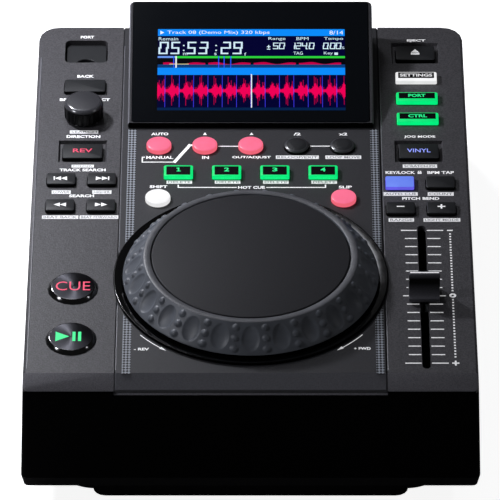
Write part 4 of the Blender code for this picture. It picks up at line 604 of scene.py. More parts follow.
# Lettering on the deck: text, x, place, width and height in millimetres
LEFT_WORDS = (
    ("PORT", -83.2, 269.8, 6.8, 2.1),
    ("BACK", -83.4, 236.2, 8.4, 2.1),
    ("BROWSE/SELECT", -83.3, 216.4, 25.2, 2.1),
    ("DIRECTION", -83.3, 185.6, 16.8, 2.1),
    ("TRACK SEARCH", -83.1, 158.2, 22.8, 2.1),
    ("SEARCH", -83.1, 137.2, 12.3, 2.1),
)
LEFT_BOXES = (
    ("SEARCH", -83.1, 189.4, 14.2, 2.6),
    ("FOLDER", -83.1, 161.3, 11.0, 2.3),
    ("LOWER", -93.2, 140.2, 9.4, 2.8),
    ("HIGHER", -73.2, 140.2, 9.4, 2.8),
    ("BEAT BACK", -93.2, 120.1, 17.8, 2.8),
    ("BEAT FORWARD", -74.2, 120.1, 18.9, 2.8),
)
CENTRE_WORDS = (
    ("AUTO", -45.3, 187.8, 8.6, 2.1),
    ("/2", 23.1, 187.7, 3.6, 2.1),
    ("x2", 46.0, 187.7, 4.3, 2.1),
    ("MANUAL", -45.1, 168.4, 13.4, 2.3),
    ("IN", -22.4, 168.4, 3.4, 2.3),
    ("OUT/ADJUST", 0.4, 168.4, 19.2, 2.3),
    ("HOT CUE", 0.4, 144.0, 13.2, 2.1),
    ("SHIFT", -45.4, 144.6, 8.7, 2.1),
    ("SLIP", 46.6, 144.3, 6.5, 2.1),
    ("- REV", -51.9, 17.8, 7.2, 1.9),
    ("+ FWD", 53.0, 18.3, 8.0, 1.9),
)
CENTRE_BOXES = (
    ("RELOOP/EXIT", 23.1, 168.6, 21.3, 2.8),
    ("LOOP MOVE", 45.9, 168.6, 17.8, 2.8),
    ("DELETE", -35.2, 148.3, 12.6, 2.6),
    ("DELETE", -11.4, 148.3, 12.6, 2.6),
    ("DELETE", 12.4, 148.3, 12.6, 2.6),
    ("DELETE", 36.2, 148.3, 12.6, 2.6),
)
RIGHT_WORDS = (
    ("EJECT", 84.2, 266.7, 9.5, 2.2),
    ("JOG MODE", 84.1, 185.4, 15.6, 2.2),
    ("KEY/LOCK", 73.9, 156.1, 14.6, 2.2),
    ("BPM TAP", 93.8, 156.1, 13.2, 2.2),
    ("PITCH BEND", 83.5, 135.1, 18.2, 2.1),
)
RIGHT_BOXES = (
    ("SCRATCH FX", 83.7, 161.3, 17.0, 2.8),
    ("AUTO CUE", 73.7, 138.7, 16.8, 2.8),
    ("COUNT", 93.4, 138.7, 12.8, 2.8),
    ("RANGE", 73.6, 117.9, 12.4, 2.8),
    ("LIGHT MODE", 93.4, 117.9, 18.0, 2.8),
)

# Keys: width and depth of each shape; then the name, shape, finish and sign of each key
RECTANGLES = {
    "small": (14.1, 9.1), "wide": (20.6, 10.2), "lamp": (20.8, 7.9), "cue": (14.4, 8.8),
    "bezel": (19.8, 11.6),
}
KEYS = (
    ("back", "wide", "rubber", None),
    ("reverse", "bezel", "rubber", ("text", "REV", 9.6, 3.0, "red_glow")),
    ("track_previous", "small", "rubber", ("skip", -1, True)),
    ("track_next", "small", "rubber", ("skip", 1, True)),
    ("search_back", "small", "rubber", ("skip", -1, False)),
    ("search_forward", "small", "rubber", ("skip", 1, False)),
    ("eject", "bezel", "rubber", ("eject",)),
    ("settings", "lamp", "white", ("window", "SETTINGS", 16.4, "white_glow")),
    ("media_source", "lamp", "green", ("window", "PORT", 8.6, "green_glow")),
    ("control_source", "lamp", "green", ("window", "CTRL", 9.4, "green_glow")),
    ("jog_mode", "bezel", "rubber", ("text", "VINYL", 11.6, 3.0, "blue_glow")),
    ("key_lock", "small", "blue", None),
    ("beat_tap", "small", "rubber", None),
    ("pitch_down", "small", "rubber", ("sign", False)),
    ("pitch_up", "small", "rubber", ("sign", True)),
    ("hot_cue_1", "cue", "green", ("number", "1")),
    ("hot_cue_2", "cue", "green", ("number", "2")),
    ("hot_cue_3", "cue", "green", ("number", "3")),
    ("hot_cue_4", "cue", "green", ("number", "4")),
    ("loop_auto", "round", "red", None),
    ("loop_in", "round", "red", None),
    ("loop_out", "round", "red", None),
    ("loop_halve", "round", "rubber", None),
    ("loop_double", "round", "rubber", None),
    ("shift", "round", "white", None),
    ("slip", "round", "red", None),
)
# Bars of a seven-bar figure: x, y, whether it lies flat; and the bars of each figure that is shown
BARS = (
    (0.5, 1.0, True), (1.0, 0.75, False), (1.0, 0.25, False), (0.5, 0.0, True), (0.0, 0.25, False),
    (0.0, 0.75, False), (0.5, 0.5, True),
)
FIGURES = {
    "0": "012345", "1": "12", "2": "01643", "3": "01623", "4": "5612", "5": "05623", "9": "012356",
}

# The display's picture, in dots from its upper left corner.
# Words: left, right, top and bottom
DISPLAY_WORDS = (
    ("Remain", 2, 52, 27, 38), ("m", 65, 76, 80, 88), ("s", 145, 151, 80, 88), ("f", 222, 227, 79, 90),
    ("Range", 284, 328, 27, 39), ("BPM", 356, 387, 27, 37), ("TAG", 348, 372, 76, 86),
    ("Tempo", 427, 476, 27, 39), ("%", 470, 479, 58, 67), ("Key", 426, 449, 76, 88),
)
# Figures: their left sides, then the foot, width, height, step and thickness that they share
LARGE_FIGURES = ((("05", 2.5), ("53", 74), ("29", 162), (":", 57), (":", 140)), (82, 19, 37, 30, 4.6))
MIDDLE_FIGURES = ((("50", 295),), (66, 12, 19, 16, 2.6))
SMALL_FIGURES = ((("124", 339), (".0", 386), ("0", 424), (".00", 440)), (66, 11, 19, 15, 2.6))
# Areas: left, top, right, bottom, colour and level
DISPLAY_AREAS = (
    (0, 0, 480, 272, "ground", 1), (0, 0, 480, 23, "bar", 2), (280, 58, 289, 60.5, "text", 3),
    (283.2, 54, 285.8, 65, "text", 3), (280, 66.5, 289, 69, "text", 3), (453, 79, 462, 87, "text", 3),
    (0, 91, 44, 97, "#6f9cf5", 2), (44, 91, 480, 98, "#2fd23c", 2), (0, 98, 480, 119, "#04040a", 2),
    (30, 117, 80, 119, "#e8e0a0", 4), (0, 119, 480, 130, "#0c3f7c", 2), (40, 91, 42.5, 130, "#2a52ff", 4),
    (155, 91, 157.5, 130, "#2a52ff", 4), (169, 91, 171.5, 130, "#2a52ff", 4),
    (186, 91, 188.5, 130, "#2a52ff", 4), (45.5, 91, 49, 130, "#f4fbff", 4), (0, 130, 480, 154, "bar", 2),
    (0, 263, 480, 272, "#03224a", 2), (238.6, 152, 241.8, 263, "#f4fbff", 4),
)

# Lamps: place, width and length in metres, the power that feeds it and its share of that power
LAMPS = (
    ("key_lamp", (-0.21, 0.17, 0.31), (0.035, 0.035), "key_power", 1.0),
    ("side_lamp_left", (-0.73, -0.24, 0.66), (0.13, 0.13), "fill_power", 1.0),
    ("side_lamp_right", (0.62, -0.155, 0.63), (0.08, 0.08), "fill_power", 0.1),
    ("rear_card", (-0.177, 0.583, 0.74), (0.1, 0.34), "card_power", 1.0),
)


def key_finishes(sheet):
    return {
        "rubber": key_rubber("matt key rubber", sheet.rubber),
        # The key rubber in three tones: flanks darkened as painted shade, rims lightened as painted highlight
        "rubber_flank": key_rubber("key flank, painted shade", shade(sheet.rubber, 0.12)[:3], 0.5, 0.1),
        "rubber_rim_highlight": key_rubber("key rim, painted highlight", shade(sheet.rubber, 2.4)[:3], 0.3, 0.8),
        "red": lit_cap("red lit cap", sheet.red, 0.9),
        "green": lit_cap("green lit cap", sheet.green, 0.78),
        "blue": lit_cap("blue lit cap", sheet.blue, 0.8),
        "white": lit_cap("white lit cap", sheet.white, 0.95),
        # The lit caps' flanks glow with a tone and strength apart from their tops: painted light and shade on
        # the sides
        "red_flank": lit_cap("red lit flank", linear("#ff6b7f"), 0.86),
        "green_flank": lit_cap("green lit flank", sheet.green, 0.95),
        "blue_flank": lit_cap("blue lit flank", linear("#6a62f4"), 0.85),
        "white_flank": lit_cap("white lit flank", sheet.white, 0.8),
        "window": black_abs("black key window", [0.003, 0.003, 0.004], 0.25),
        "white_ink": pad_ink("white key ink", linear("#f2f2f2"), 0.4),
        "red_glow": glow_ink("red lit letters", linear("#ec3f66")),
        "green_glow": glow_ink("green lit letters", linear("#19e887")),
        "blue_glow": glow_ink("blue lit letters", linear("#8f9dff")),
        "white_glow": glow_ink("white lit letters", linear("#d4d4d6")),
    }


def key_stem(radius, low):
    """The lower part of a round key's section: its post, its flange and the foot of its flank."""
    wide = radius + FLANGE_RIM
    return [
        (0, low), (KEY_POST, low), (KEY_POST, FLANGE_FOOT), (wide, FLANGE_FOOT), (wide, FLANGE_Z),
        (radius, FLANGE_Z),
    ]


def sign_on_key(bm, sign, x, y, top):
    """The printed or lit sign on a key's top; gives the finishes that it needs, after the cap's own."""
    kind = sign[0]

    def bar(side, up, width, height, level=0.0, index=1):
        """A bar in millimetres from the key's middle; its level counts layers of ink."""
        slab(bm, x + side * MM, y + up * MM, top + level * PRINT_THICK, width * MM, height * MM, index=index)

    def arrow(*corners):
        flat_shape(bm, [(x + side * MM, y + up * MM) for side, up in corners], top, index=1)

    if kind == "text":
        words(bm, sign[1], x, y + 0.3 * MM, top, sign[2] * MM, sign[3] * MM, bold=0.01, index=1)
        return [sign[4]]
    if kind == "skip":
        way, has_bar = sign[1], sign[2]
        for tip in (0.1, 3.1):
            corners = ((way * (tip - 3.0), -1.5), (way * tip, 0), (way * (tip - 3.0), 1.5))
            arrow(*corners[::way])
        if has_bar:
            bar(way * 3.4, 0, 0.6, 3.0)
        return ["white_ink"]
    if kind == "eject":
        arrow((-2.2, 0.1), (2.2, 0.1), (0, 3.0))
        bar(0, -1.0, 4.4, 1.2)
        return ["white_ink"]
    if kind == "sign":
        bar(0, 0.7, 3.8, 0.75)
        if sign[1]:
            bar(0, 0.7, 0.85, 3.4, 0.5)
        return ["white_ink"]
    if kind == "window":
        bar(0, 0.95, 18.1, 4.7)
        words(bm, sign[1], x, y + 1.05 * MM, top + PRINT_THICK, sign[2] * MM, 2.5 * MM, bold=0.03, index=2)
        return ["window", sign[3]]
    bar(0, -0.1, 11.8, 6.7)
    if sign[1] == "1":
        for stroke in ((0.1, 0.7, 0.75, 3.1), (-0.55, 1.75, 0.8, 0.6), (0.1, -0.6, 2.0, 0.5)):
            bar(*stroke, 1, 2)
    else:
        words(bm, sign[1], x, y + 0.7 * MM, top + PRINT_THICK, 2.5 * MM, 3.1 * MM, bold=0.03, index=2)
    return ["window", "green_glow"]


class PLAYER_OT_case(bpy.types.Operator):
    """Finish the case, its base and feet"""

    bl_idname = "player.case"
    bl_label = "Case"

    def execute(self, context):
        sheet = context.scene.player_case
        deck = deck_abs(sheet.deck)
        # The walls' near pure black is partly their black plastic and partly painted shade.
        wall = black_abs("black wall ABS with painted shade", sheet.wall, 0.6, 0.02)
        # The slope at the front is lighter than the deck: painted light.
        slope = black_abs("front slope ABS, painted light", sheet.slope, 0.5, 0.3)
        # The centre panel's front slope is lighter than the panel: painted light.
        panel = [
            satin_panel("satin printed panel", sheet.panel), satin_panel("centre panel slope, painted light", sheet.fall)
        ]

        def part(face):
            """0 on the deck, 1 on the walls, black plastic darkened to near pure black as painted shade, and
            2 on the slope at the front, lightened as painted light.
            """
            if max(vert.co.z for vert in face.verts) < CHAMFER_Z + 0.05 * MM:
                return 1
            front = face.calc_center_median().y < DECK_FRONT
            return 2 if front and 0.5 < abs(face.normal.z) < 0.99 else 0

        smoothed("top_case", [deck, wall, slope], pick=part)
        self.beads(sheet)
        smoothed("centre_panel", panel, pick=lambda face: int(part(face) == 2))
        # The base shares that black, partly its own colour and partly painted shade.
        smoothed("bottom_cover", [black_abs("black base ABS", sheet.wall, 0.6, 0.05)])
        rubber = key_rubber("moulded foot rubber", linear("#141415"))
        for corner in ("front_left", "front_right", "rear_left", "rear_right"):
            x, y, low, high, radius = measures(f"foot_{corner}")
            section = [
                (0, low), (radius - 1.2 * MM, low), (radius, low + 0.9 * MM), (radius, high), (0, high)
            ]
            bm = bmesh.new()
            turned_form(bm, rounded_profile(section, 0.5 * MM), 72, (x, y))
            piece(f"foot_{corner}_rubber", bm, "case", [rubber], 40, (f"foot_{corner}",))
        return {"FINISHED"}

    def beads(self, sheet):
        """The rounded edges of the seams and of the left side, in a tone lighter than the deck: painted
        highlights that draw thin lines of light.
        """
        low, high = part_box("centre_panel")
        left = min(v.co.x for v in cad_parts["top_case"].data.vertices if abs(v.co.z - DECK_Z) < 1e-5)
        gap = 67.2 * MM
        section = ((-0.5, 0), (-0.2, 0.75), (0.2, 0.95), (0.5, 0))
        bm = bmesh.new()
        for edge, inward, wide in ((low.x, 0.5, 0.45), (high.x, 0.7, 0.45), (left, 0.45, 0.9)):
            x = edge + inward * MM
            runs = [(deck_y(3), deck_y(252))]
            if abs(x) < gap:
                half = math.sqrt(gap * gap - x * x)
                runs = [(deck_y(2), JOG_Y - half), (JOG_Y + half, deck_y(262))]
            for near, far in runs:
                corners = [
                    (x + side * wide * MM, near, DECK_Z + up * 0.3 * wide * MM) for side, up in section
                ]
                pulled_face(bm, corners, (0, far - near, 0))
        piece("edge_beads", bm, "case", [black_abs("rounded edge, painted highlight", sheet.bead_highlight, 0.4, 0.4)])


class PLAYER_OT_lettering(bpy.types.Operator):
    """Print the deck's words, boxes and lines"""

    bl_idname = "player.lettering"
    bl_label = "Deck lettering"

    def execute(self, context):
        inks = [
            pad_ink("white deck ink", context.scene.player_case.ink, 0.35),
            pad_ink("pale box ink", linear("#eaeaea"), 0.32), pad_ink("grey box ink", linear("#a2a2a5"), 0.1),
        ]
        groups = (
            ("left", LEFT_WORDS, LEFT_BOXES), ("centre", CENTRE_WORDS, CENTRE_BOXES),
            ("right", RIGHT_WORDS, RIGHT_BOXES),
        )
        for side, labels, boxes in groups:
            bm = bmesh.new()
            for text, x, place, width, height in labels:
                words(bm, text, *spot(x, place), DECK_Z, width * MM, height * 1.05 * MM, bold=0.035)
            for text, x, place, width, height in boxes:
                print_box(bm, x, place, width, height, index=1)
                inner = ((width - 1.4) * MM, (height - 1.0) * MM)
                words(bm, text, *spot(x, place), DECK_Z + PRINT_THICK, *inner, index=2)
            if side == "centre":
                self.strokes(bm)
            if side == "right":
                self.padlock(bm)
            piece(f"{side}_lettering", bm, "case", inks)
        return {"FINISHED"}

    def padlock(self, bm):
        """The small padlock beside KEY/LOCK."""
        print_box(bm, 83.4, 155.7, 2.0, 1.4)
        for stroke in ((82.8, 156.8, 0.4, 1.0), (84.0, 156.8, 0.4, 1.0), (83.4, 157.2, 1.6, 0.4)):
            print_box(bm, *stroke, thick=0.9)

    def strokes(self, bm):
        """The lines that join the words of the loop and cue keys, with their arrows."""
        runs = (
            ((-15.8, 177.6), (-6.5, 177.6)), ((29.9, 177.7), (39.5, 177.7)),
            ((-35.7, 145.9), (-35.7, 144.0)), ((-35.7, 144.0), (-7.2, 144.0)),
            ((8.0, 144.0), (36.8, 144.0)), ((36.8, 144.0), (36.8, 145.9)),
            ((-52.8, 168.6), (-53.7, 168.6)), ((-53.7, 168.6), (-53.7, 164.6)),
            ((-53.7, 164.6), (-37.6, 164.6)),
        )
        for step, ends in enumerate(runs):
            line(bm, [spot(*end) for end in ends], DECK_Z + step * PRINT_THICK / 20, 0.65 * MM)
        line(bm, (spot(-37.6, 164.9), spot(-30.4, 178.3)), DECK_Z + PRINT_THICK / 2, 1.7 * MM)
        line(bm, (spot(-30.4, 178.5), spot(-29.0, 178.5)), DECK_Z + PRINT_THICK / 3, 1.2 * MM)
        for x in (-22.8, 0.4):
            flat_shape(bm, (spot(x - 1.0, 187.0), spot(x + 1.0, 187.0), spot(x, 189.0)), DECK_Z)
        self.turn_arrow(bm, 219.4, 232.4)
        self.turn_arrow(bm, 320.9, 308.0)

    def turn_arrow(self, bm, first, last):
        """A curved arrow beside the jog wheel, from one angle to another in degrees."""
        radius = 68.2 * MM
        turns = [math.radians(first + (last - first) * step / 8) for step in range(9)]
        points = [
            Vector((0.2 * MM + radius * math.cos(turn), JOG_Y + radius * math.sin(turn))) for turn in turns
        ]
        for step, ends in enumerate(zip(points, points[1:])):
            line(bm, ends, DECK_Z + step * PRINT_THICK / 20, 0.5 * MM)
        ahead = (points[-1] - points[-2]).normalized()
        across = Vector((-ahead.y, ahead.x)) * 0.9 * MM
        back = points[-1] - ahead * 2.0 * MM
        tip = points[-1] + ahead * 1.6 * MM
        flat_shape(bm, (tip, back + across, back - across), DECK_Z + PRINT_THICK / 2)


class PLAYER_OT_net(bpy.types.Operator):
    """Print the two strips of fine net beside the jog wheel"""

    bl_idname = "player.net"
    bl_label = "Printed net"

    def execute(self, context):
        material = fine_mesh_print(context.scene.player_case.net, linear("#1b1c1e"))
        bm = bmesh.new()
        collar = 66.9
        for near, far in ((-56.8, -61.0), (59.5, 63.5)):
            for end, toward in ((-0.7, -1), (191.8, 1)):
                inner = [JOG_PLACE + toward * math.sqrt(max(collar ** 2 - x * x, 0)) for x in (near, far)]
                corners = ((near, end), (far, end), (far, inner[1]), (near, inner[0]))
                flat_shape(bm, [spot(*corner) for corner in corners], DECK_Z)
        piece("printed_net", bm, "case", [material])
        return {"FINISHED"}


class PLAYER_OT_keys(bpy.types.Operator):
    """Make the rubber and lit keys with their signs"""

    bl_idname = "player.keys"
    bl_label = "Keys"

    def execute(self, context):
        sheet = context.scene.player_keys
        finishes = key_finishes(sheet)
        for name, shape, finish, sign in KEYS:
            x, y, low, high = measures(f"{name}_key")[:4]
            bm = bmesh.new()
            if shape == "round":
                section = self.round_section(low, high, finish == "rubber")
                turned_form(bm, rounded_profile(section, 0.4 * MM), 56, (x, y))
            else:
                width, depth = (size * MM for size in RECTANGLES[shape])
                cap_block(bm, x, y, width, depth, FLANGE_Z, high, sheet.corner, sheet.edge)
                flange = (width + 2 * FLANGE_RIM, depth + 2 * FLANGE_RIM, FLANGE_Z - FLANGE_FOOT)
                slab(bm, x, y, FLANGE_FOOT, *flange)
                slab(bm, x, y, low, 2 * KEY_POST, 2 * KEY_POST, FLANGE_FOOT - low)
            used = [finish]
            if sign:
                used += sign_on_key(bm, sign, x, y, high)
            bm.normal_update()
            # Steep faces take a flank finish: painted shade on rubber keys, a glow of its own on lit ones; a
            # rubber key's sloping rim takes a painted highlight.
            steep = 0.3 if finish == "rubber" else 0.8
            for face in bm.faces:
                if face.material_index == 0 and abs(face.normal.z) < steep:
                    face.material_index = len(used)
                elif face.material_index == 0 and finish == "rubber" and abs(face.normal.z) < 0.96:
                    face.material_index = len(used) + 1
            used.append(f"{finish}_flank")
            if finish == "rubber":
                used.append("rubber_rim_highlight")
            materials = [finishes[item] for item in used]
            piece(f"{name}_cap", bm, name, materials, 35, (f"{name}_key",))
        return {"FINISHED"}

    def round_section(self, low, high, domed):
        """Section of a small round key: an unlit one is a low dome, a lit one is flat."""
        radius = 6.2 * MM
        crown = [(radius, high - 0.5 * MM), (radius - 0.9 * MM, high)]
        if domed:
            crown = [
                (radius, high - 1.2 * MM), (radius - 1.1 * MM, high - 0.5 * MM), (3 * MM, high - 0.1 * MM)
            ]
        return [*key_stem(radius, low), *crown, (0, high)]


class PLAYER_OT_transport(bpy.types.Operator):
    """Make the two large round keys with their spun faces"""

    bl_idname = "player.transport"
    bl_label = "Transport keys"

    def execute(self, context):
        signs = key_finishes(context.scene.player_keys)
        for name, glow in (("cue", "red_glow"), ("play_pause", "green_glow")):
            x, y, low, high = measures(f"{name}_key")[:4]
            radius = 11.9 * MM
            crown = [(radius, high - 1.4 * MM), (radius - 1.4 * MM, high), (0, high)]
            bm = bmesh.new()
            turned_form(bm, rounded_profile([*key_stem(radius, low), *crown], 0.3 * MM), 96, (x, y))
            for face in bm.faces:
                if min(vert.co.z for vert in face.verts) < high - 1e-6:
                    face.material_index = 1
            if name == "cue":
                words(bm, "CUE", x, y, high, 16.6 * MM, 6.8 * MM, bold=-0.005, index=2)
            else:
                back = x - 7.4 * MM
                arrow = ((back, y - 3.6 * MM), (x - 0.8 * MM, y), (back, y + 3.6 * MM))
                flat_shape(bm, arrow, high, index=2)
                for side in (1.4, 4.1):
                    slab(bm, x + side * MM, y, high, 1.5 * MM, 7.0 * MM, index=2)
            face = turned_cap(f"spun {name} cap", linear("#242428"), (x, y))
            rim = piano_black(linear("#050506"), 1.0)
            piece(f"{name}_cap", bm, name, [face, rim, signs[glow]], 30, (f"{name}_key",))
        return {"FINISHED"}


class PLAYER_OT_jog(bpy.types.Operator):
    """Make the jog wheel's grip ring, touch plate and collar"""

    bl_idname = "player.jog"
    bl_label = "Jog wheel"

    def execute(self, context):
        sheet = context.scene.player_jog
        self.grip(sheet)
        self.touch_plate(sheet)
        self.collar()
        smoothed("jog_platter", [black_abs("platter ABS", linear("#0b0b0c"))], body="jog_wheel")
        insides = (
            ("jog_shaft", "ground shaft steel", "#c3c5c8", 0.2, "zinc_steel", "jog_wheel"),
            ("jog_bracket", "pressed bracket steel", "#a9adb2", 0.35, "zinc_steel", "case"),
            ("jog_bush", "sintered bronze", "#b08a4a", 0.45, "bronze", "case"),
        )
        for node, name, code, rough, slot, body in insides:
            smoothed(node, [plated_steel(name, linear(code), rough)], body=body)
        return {"FINISHED"}

    def relief(self, sheet, across, along, pitch):
        """Height of the grip over the plain skirt, from the distances to an oval's middle."""
        oval = (2 * across / sheet.oval_width) ** 2 + (2 * along / sheet.oval_length) ** 2
        if oval < 1:
            return -sheet.oval_depth * (1 - oval) ** 0.65
        beside = abs(abs(across) - pitch / 2)
        for step in (-1, 0, 1):
            reach = 2 * math.hypot(beside, along - step * sheet.dome_step) / sheet.dome_width
            if reach < 1:
                return sheet.dome_height * math.sqrt(1 - reach * reach)
        return 0.0

    def grip(self, sheet):
        """The sloping skirt of rubber, pressed with ovals and domes, and the smooth rim inside it."""
        top, low = JOG_TOP, DECK_Z + 2.6 * MM
        fall, run = top - low, JOG_SKIRT - JOG_RIM
        slant = math.hypot(run, fall)
        out = Vector((fall, run)).normalized()
        pitch = math.pi * (JOG_RIM + JOG_SKIRT) / sheet.ovals
        rows = 56
        section = [
            (48.3 * MM, top - 2.3 * MM), (48.3 * MM, top - 0.25 * MM), (48.55 * MM, top),
            (JOG_RIM - 0.5 * MM, top),
        ]
        for row in range(rows + 1):
            share = row / rows
            tuck = 0.12 * MM if row in (0, rows) else 0
            section.append((JOG_RIM + share * run, top - share * fall - tuck))
        section += [(JOG_SKIRT - 2.4 * MM, low - 0.1 * MM), (51.1 * MM, top - 2.3 * MM)]
        bm = bmesh.new()
        turned_form(bm, section, sheet.ovals * 30)
        for vert in bm.verts:
            radius = math.hypot(vert.co.x, vert.co.y)
            share = (radius - JOG_RIM) / run
            on_skirt = abs(vert.co.z - (top - share * fall)) < 0.05 * MM and 0.01 < share < 0.99
            if not on_skirt:
                continue
            sector = math.atan2(vert.co.y, vert.co.x) * sheet.ovals / math.tau
            lift = self.relief(sheet, (sector - round(sector)) * pitch, (share - 0.5) * slant, pitch)
            grow = (radius + lift * out.x) / radius
            vert.co = (vert.co.x * grow, vert.co.y * grow, vert.co.z + lift * out.y)
        bmesh.ops.translate(bm, vec=(0, JOG_Y, 0), verts=bm.verts)
        for face in bm.faces:
            if min(vert.co.z for vert in face.verts) > top - 0.3 * MM:
                face.material_index = 1
        finishes = [
            grip_rubber("moulded grip rubber", sheet.rubber), grip_rubber("smooth rim rubber", sheet.rim)
        ]
        piece("jog_grip", bm, "jog_wheel", finishes, 50, ("jog_grip_ring",))

    def touch_plate(self, sheet):
        under, top, radius = JOG_LOW.z, JOG_TOP, 47.8 * MM
        section = [(0, under), (radius, under), (radius, top - 0.35 * MM), (radius - 0.4 * MM, top), (0, top)]
        bm = bmesh.new()
        turned_form(bm, rounded_profile(section, 0.15 * MM, 2), 160, (0, JOG_Y))
        satin = satin_panel("satin touch plate", sheet.plate, 0.15)
        piece("jog_plate", bm, "jog_wheel", [satin], 30, ("jog_touch_plate",))

    def collar(self):
        """The gloss collar, a shallow dish that falls 0.9 mm toward the wheel."""
        base, high = DECK_Z + 0.3 * MM, DECK_Z + COLLAR_RISE
        bore, skirt, edge = 57 * MM, 61.25 * MM, 66.35 * MM
        section = [
            (bore, DECK_Z - 3 * MM), (skirt, DECK_Z - 3 * MM), (skirt, base), (edge, base),
            (edge, high - 0.3 * MM), (65.9 * MM, high), (61.7 * MM, high - 0.9 * MM), (bore, high - 1 * MM),
        ]
        bm = bmesh.new()
        turned_form(bm, rounded_profile(section, 0.15 * MM), 200, (0, JOG_Y))
        bm.normal_update()
        for face in bm.faces:
            face.material_index = int(abs(face.normal.z) < 0.9 or face.calc_center_median().z < base)
        dull = black_abs("dull collar edge", linear("#030304"), 0.6, 0.02)
        finishes = [piano_black(linear("#050506")), dull]
        piece("jog_collar_gloss", bm, "case", finishes, 40, ("jog_collar",))


class PLAYER_OT_display(bpy.types.Operator):
    """Make the display's housing, window and picture"""

    bl_idname = "player.display"
    bl_label = "Display"

    def execute(self, context):
        sheet = context.scene.player_display
        case = context.scene.player_case
        finishes = [
            black_abs("housing ABS", case.panel, 0.5, 0.2),
            # The rims' lighter tone is painted highlight.
            black_abs("housing rim, painted highlight", case.rim, 0.3, 0.6),
            # The front's black is painted shade on the grey housing.
            black_abs("housing front, painted shade", case.wall, 0.6, 0.02),
        ]

        def part(face):
            """0 on top and at the sides, 1 on the rims, in a lighter tone as painted highlight, and 2 in
            front, in black as painted shade.
            """
            if face.normal.y < -0.5:
                return 2
            return 1 if 0.25 < face.normal.z < 0.93 else 0

        smoothed("screen_pod", finishes, pick=part)
        smoothed("screen_lens", [coated_glass(sheet.glass)], 0.2 * MM)
        paint("lcd_module", plated_steel("display frame steel", linear("#b9bcc0"), 0.4))
        self.picture(sheet)
        return {"FINISHED"}

    def picture(self, sheet):
        """The picture, laid out on a grid of 480 by 272 dots and then set on the window's slope."""
        bm = bmesh.new()
        ink = bm.loops.layers.float_color.new("ink")
        dot = sheet.width / 480
        tall = sheet.height / 272
        layer = 0.012 * MM

        def colour_faces(faces, tone):
            for face in faces:
                for loop in face.loops:
                    loop[ink] = (*tone, 1)

        def field(left, top, right, bottom):
            """Middle and size in metres of a field given in dots."""
            middle = ((left + right) / 2 * dot, -(top + bottom) / 2 * tall)
            return middle, ((right - left) * dot, (bottom - top) * tall)

        def area(left, top, right, bottom, tone, level=1):
            middle, size = field(left, top, right, bottom)
            colour_faces(slab(bm, *middle, level * layer, *size, layer), tone)

        def text(string, left, right, top, bottom, tone):
            middle, size = field(left, top, right, bottom)
            colour_faces(words(bm, string, *middle, 3 * layer, *size, bold=0.0, thick=layer), tone)

        def figures(string, x, y, wide, high, step, thick):
            for sign in string:
                if sign in FIGURES:
                    for bar in FIGURES[sign]:
                        across, up, flat = BARS[int(bar)]
                        middle = y - up * high
                        lean = 0.16 * up * high
                        w, h = (wide, thick) if flat else (thick, high / 2 + thick)
                        left = x + across * wide + lean - w / 2
                        area(left, middle - h / 2, left + w, middle + h / 2, sheet.text, 3)
                    x += step
                elif sign == ":":
                    left = x + wide * 0.4
                    for up in (0.28, 0.72):
                        area(left, y - up * high - 2, left + 4, y - up * high + 2, sheet.text, 3)
                else:
                    left = x - step * 0.32
                    area(left, y - 1, left + 3, y + 2, sheet.text, 3)
                    x += step * 0.12

        for left, top, right, bottom, tone, level in DISPLAY_AREAS:
            shown = linear(tone) if tone.startswith("#") else getattr(sheet, tone)
            area(left, top, right, bottom, shown, level)
        white = linear("#f4fbff")
        arrow = ((6 * dot, -18 * tall), (16 * dot, -11.5 * tall), (6 * dot, -5 * tall))
        colour_faces(flat_shape(bm, arrow, 3 * layer, layer), white)
        text("Track 08 (Demo Mix) 320 kbps", 24, 287, 5, 19, white)
        text("8/14", 441, 476, 5, 18, white)
        for label in DISPLAY_WORDS:
            text(*label, sheet.text)
        for groups, form in (LARGE_FIGURES, MIDDLE_FIGURES, SMALL_FIGURES):
            for string, left in groups:
                figures(string, left, *form)
        self.waves(sheet, area)

        origin = Vector((0.3 * MM - sheet.width / 2, deck_y(190.2), DECK_Z + 2.2 * MM))
        up = Vector((0, math.cos(SCREEN_TILT), math.sin(SCREEN_TILT)))
        top_left = origin + up * (11.0 * MM + sheet.height)
        place = Matrix.Translation(top_left) @ Matrix.Rotation(SCREEN_TILT, 4, "X")
        bmesh.ops.transform(bm, matrix=place, verts=bm.verts)
        piece("display_picture", bm, "case", [display_picture()])

    def waves(self, sheet, area):
        """The small wave of the whole track, and the large one with a peak on each beat."""
        first, beat, axis = 19.5, 36.55, 207
        for step in range(232):
            x = 14 + step * 2
            swell = 0.55 + 0.45 * math.sin(x / 38) * math.sin(x / 13.0)
            if step % 58 < 54:
                area(x, 119 - 9 * swell, x + 2, 119, shade(sheet.wave, 0.62)[:3], 3)
        for step in range(13):
            x = first + beat * step
            area(x - 0.8, 155, x + 0.8, 262, linear("#3a37e0"), 4)
        for x in range(480):
            phase = ((x - first) / beat) % 1
            swell = 0.14 + 0.62 * math.exp(-(((phase - 0.5) / 0.17) ** 2))
            swell += 0.42 * math.exp(-(((phase - 0.86) / 0.09) ** 2))
            jitter = abs(math.sin(x * 12.9898) * 43758.5453) % 1
            core = 50 * swell * (0.5 + 0.28 * jitter)
            area(x, axis - core, x + 1, axis + core, sheet.wave, 3)
            if x % 4 == 0:
                reach = min(52.0, core + 50 * swell * (0.2 + 0.75 * jitter))
                area(x, axis - reach, x + 1.6, axis + reach * 0.95, shade(sheet.wave, 0.5)[:3], 2.6)


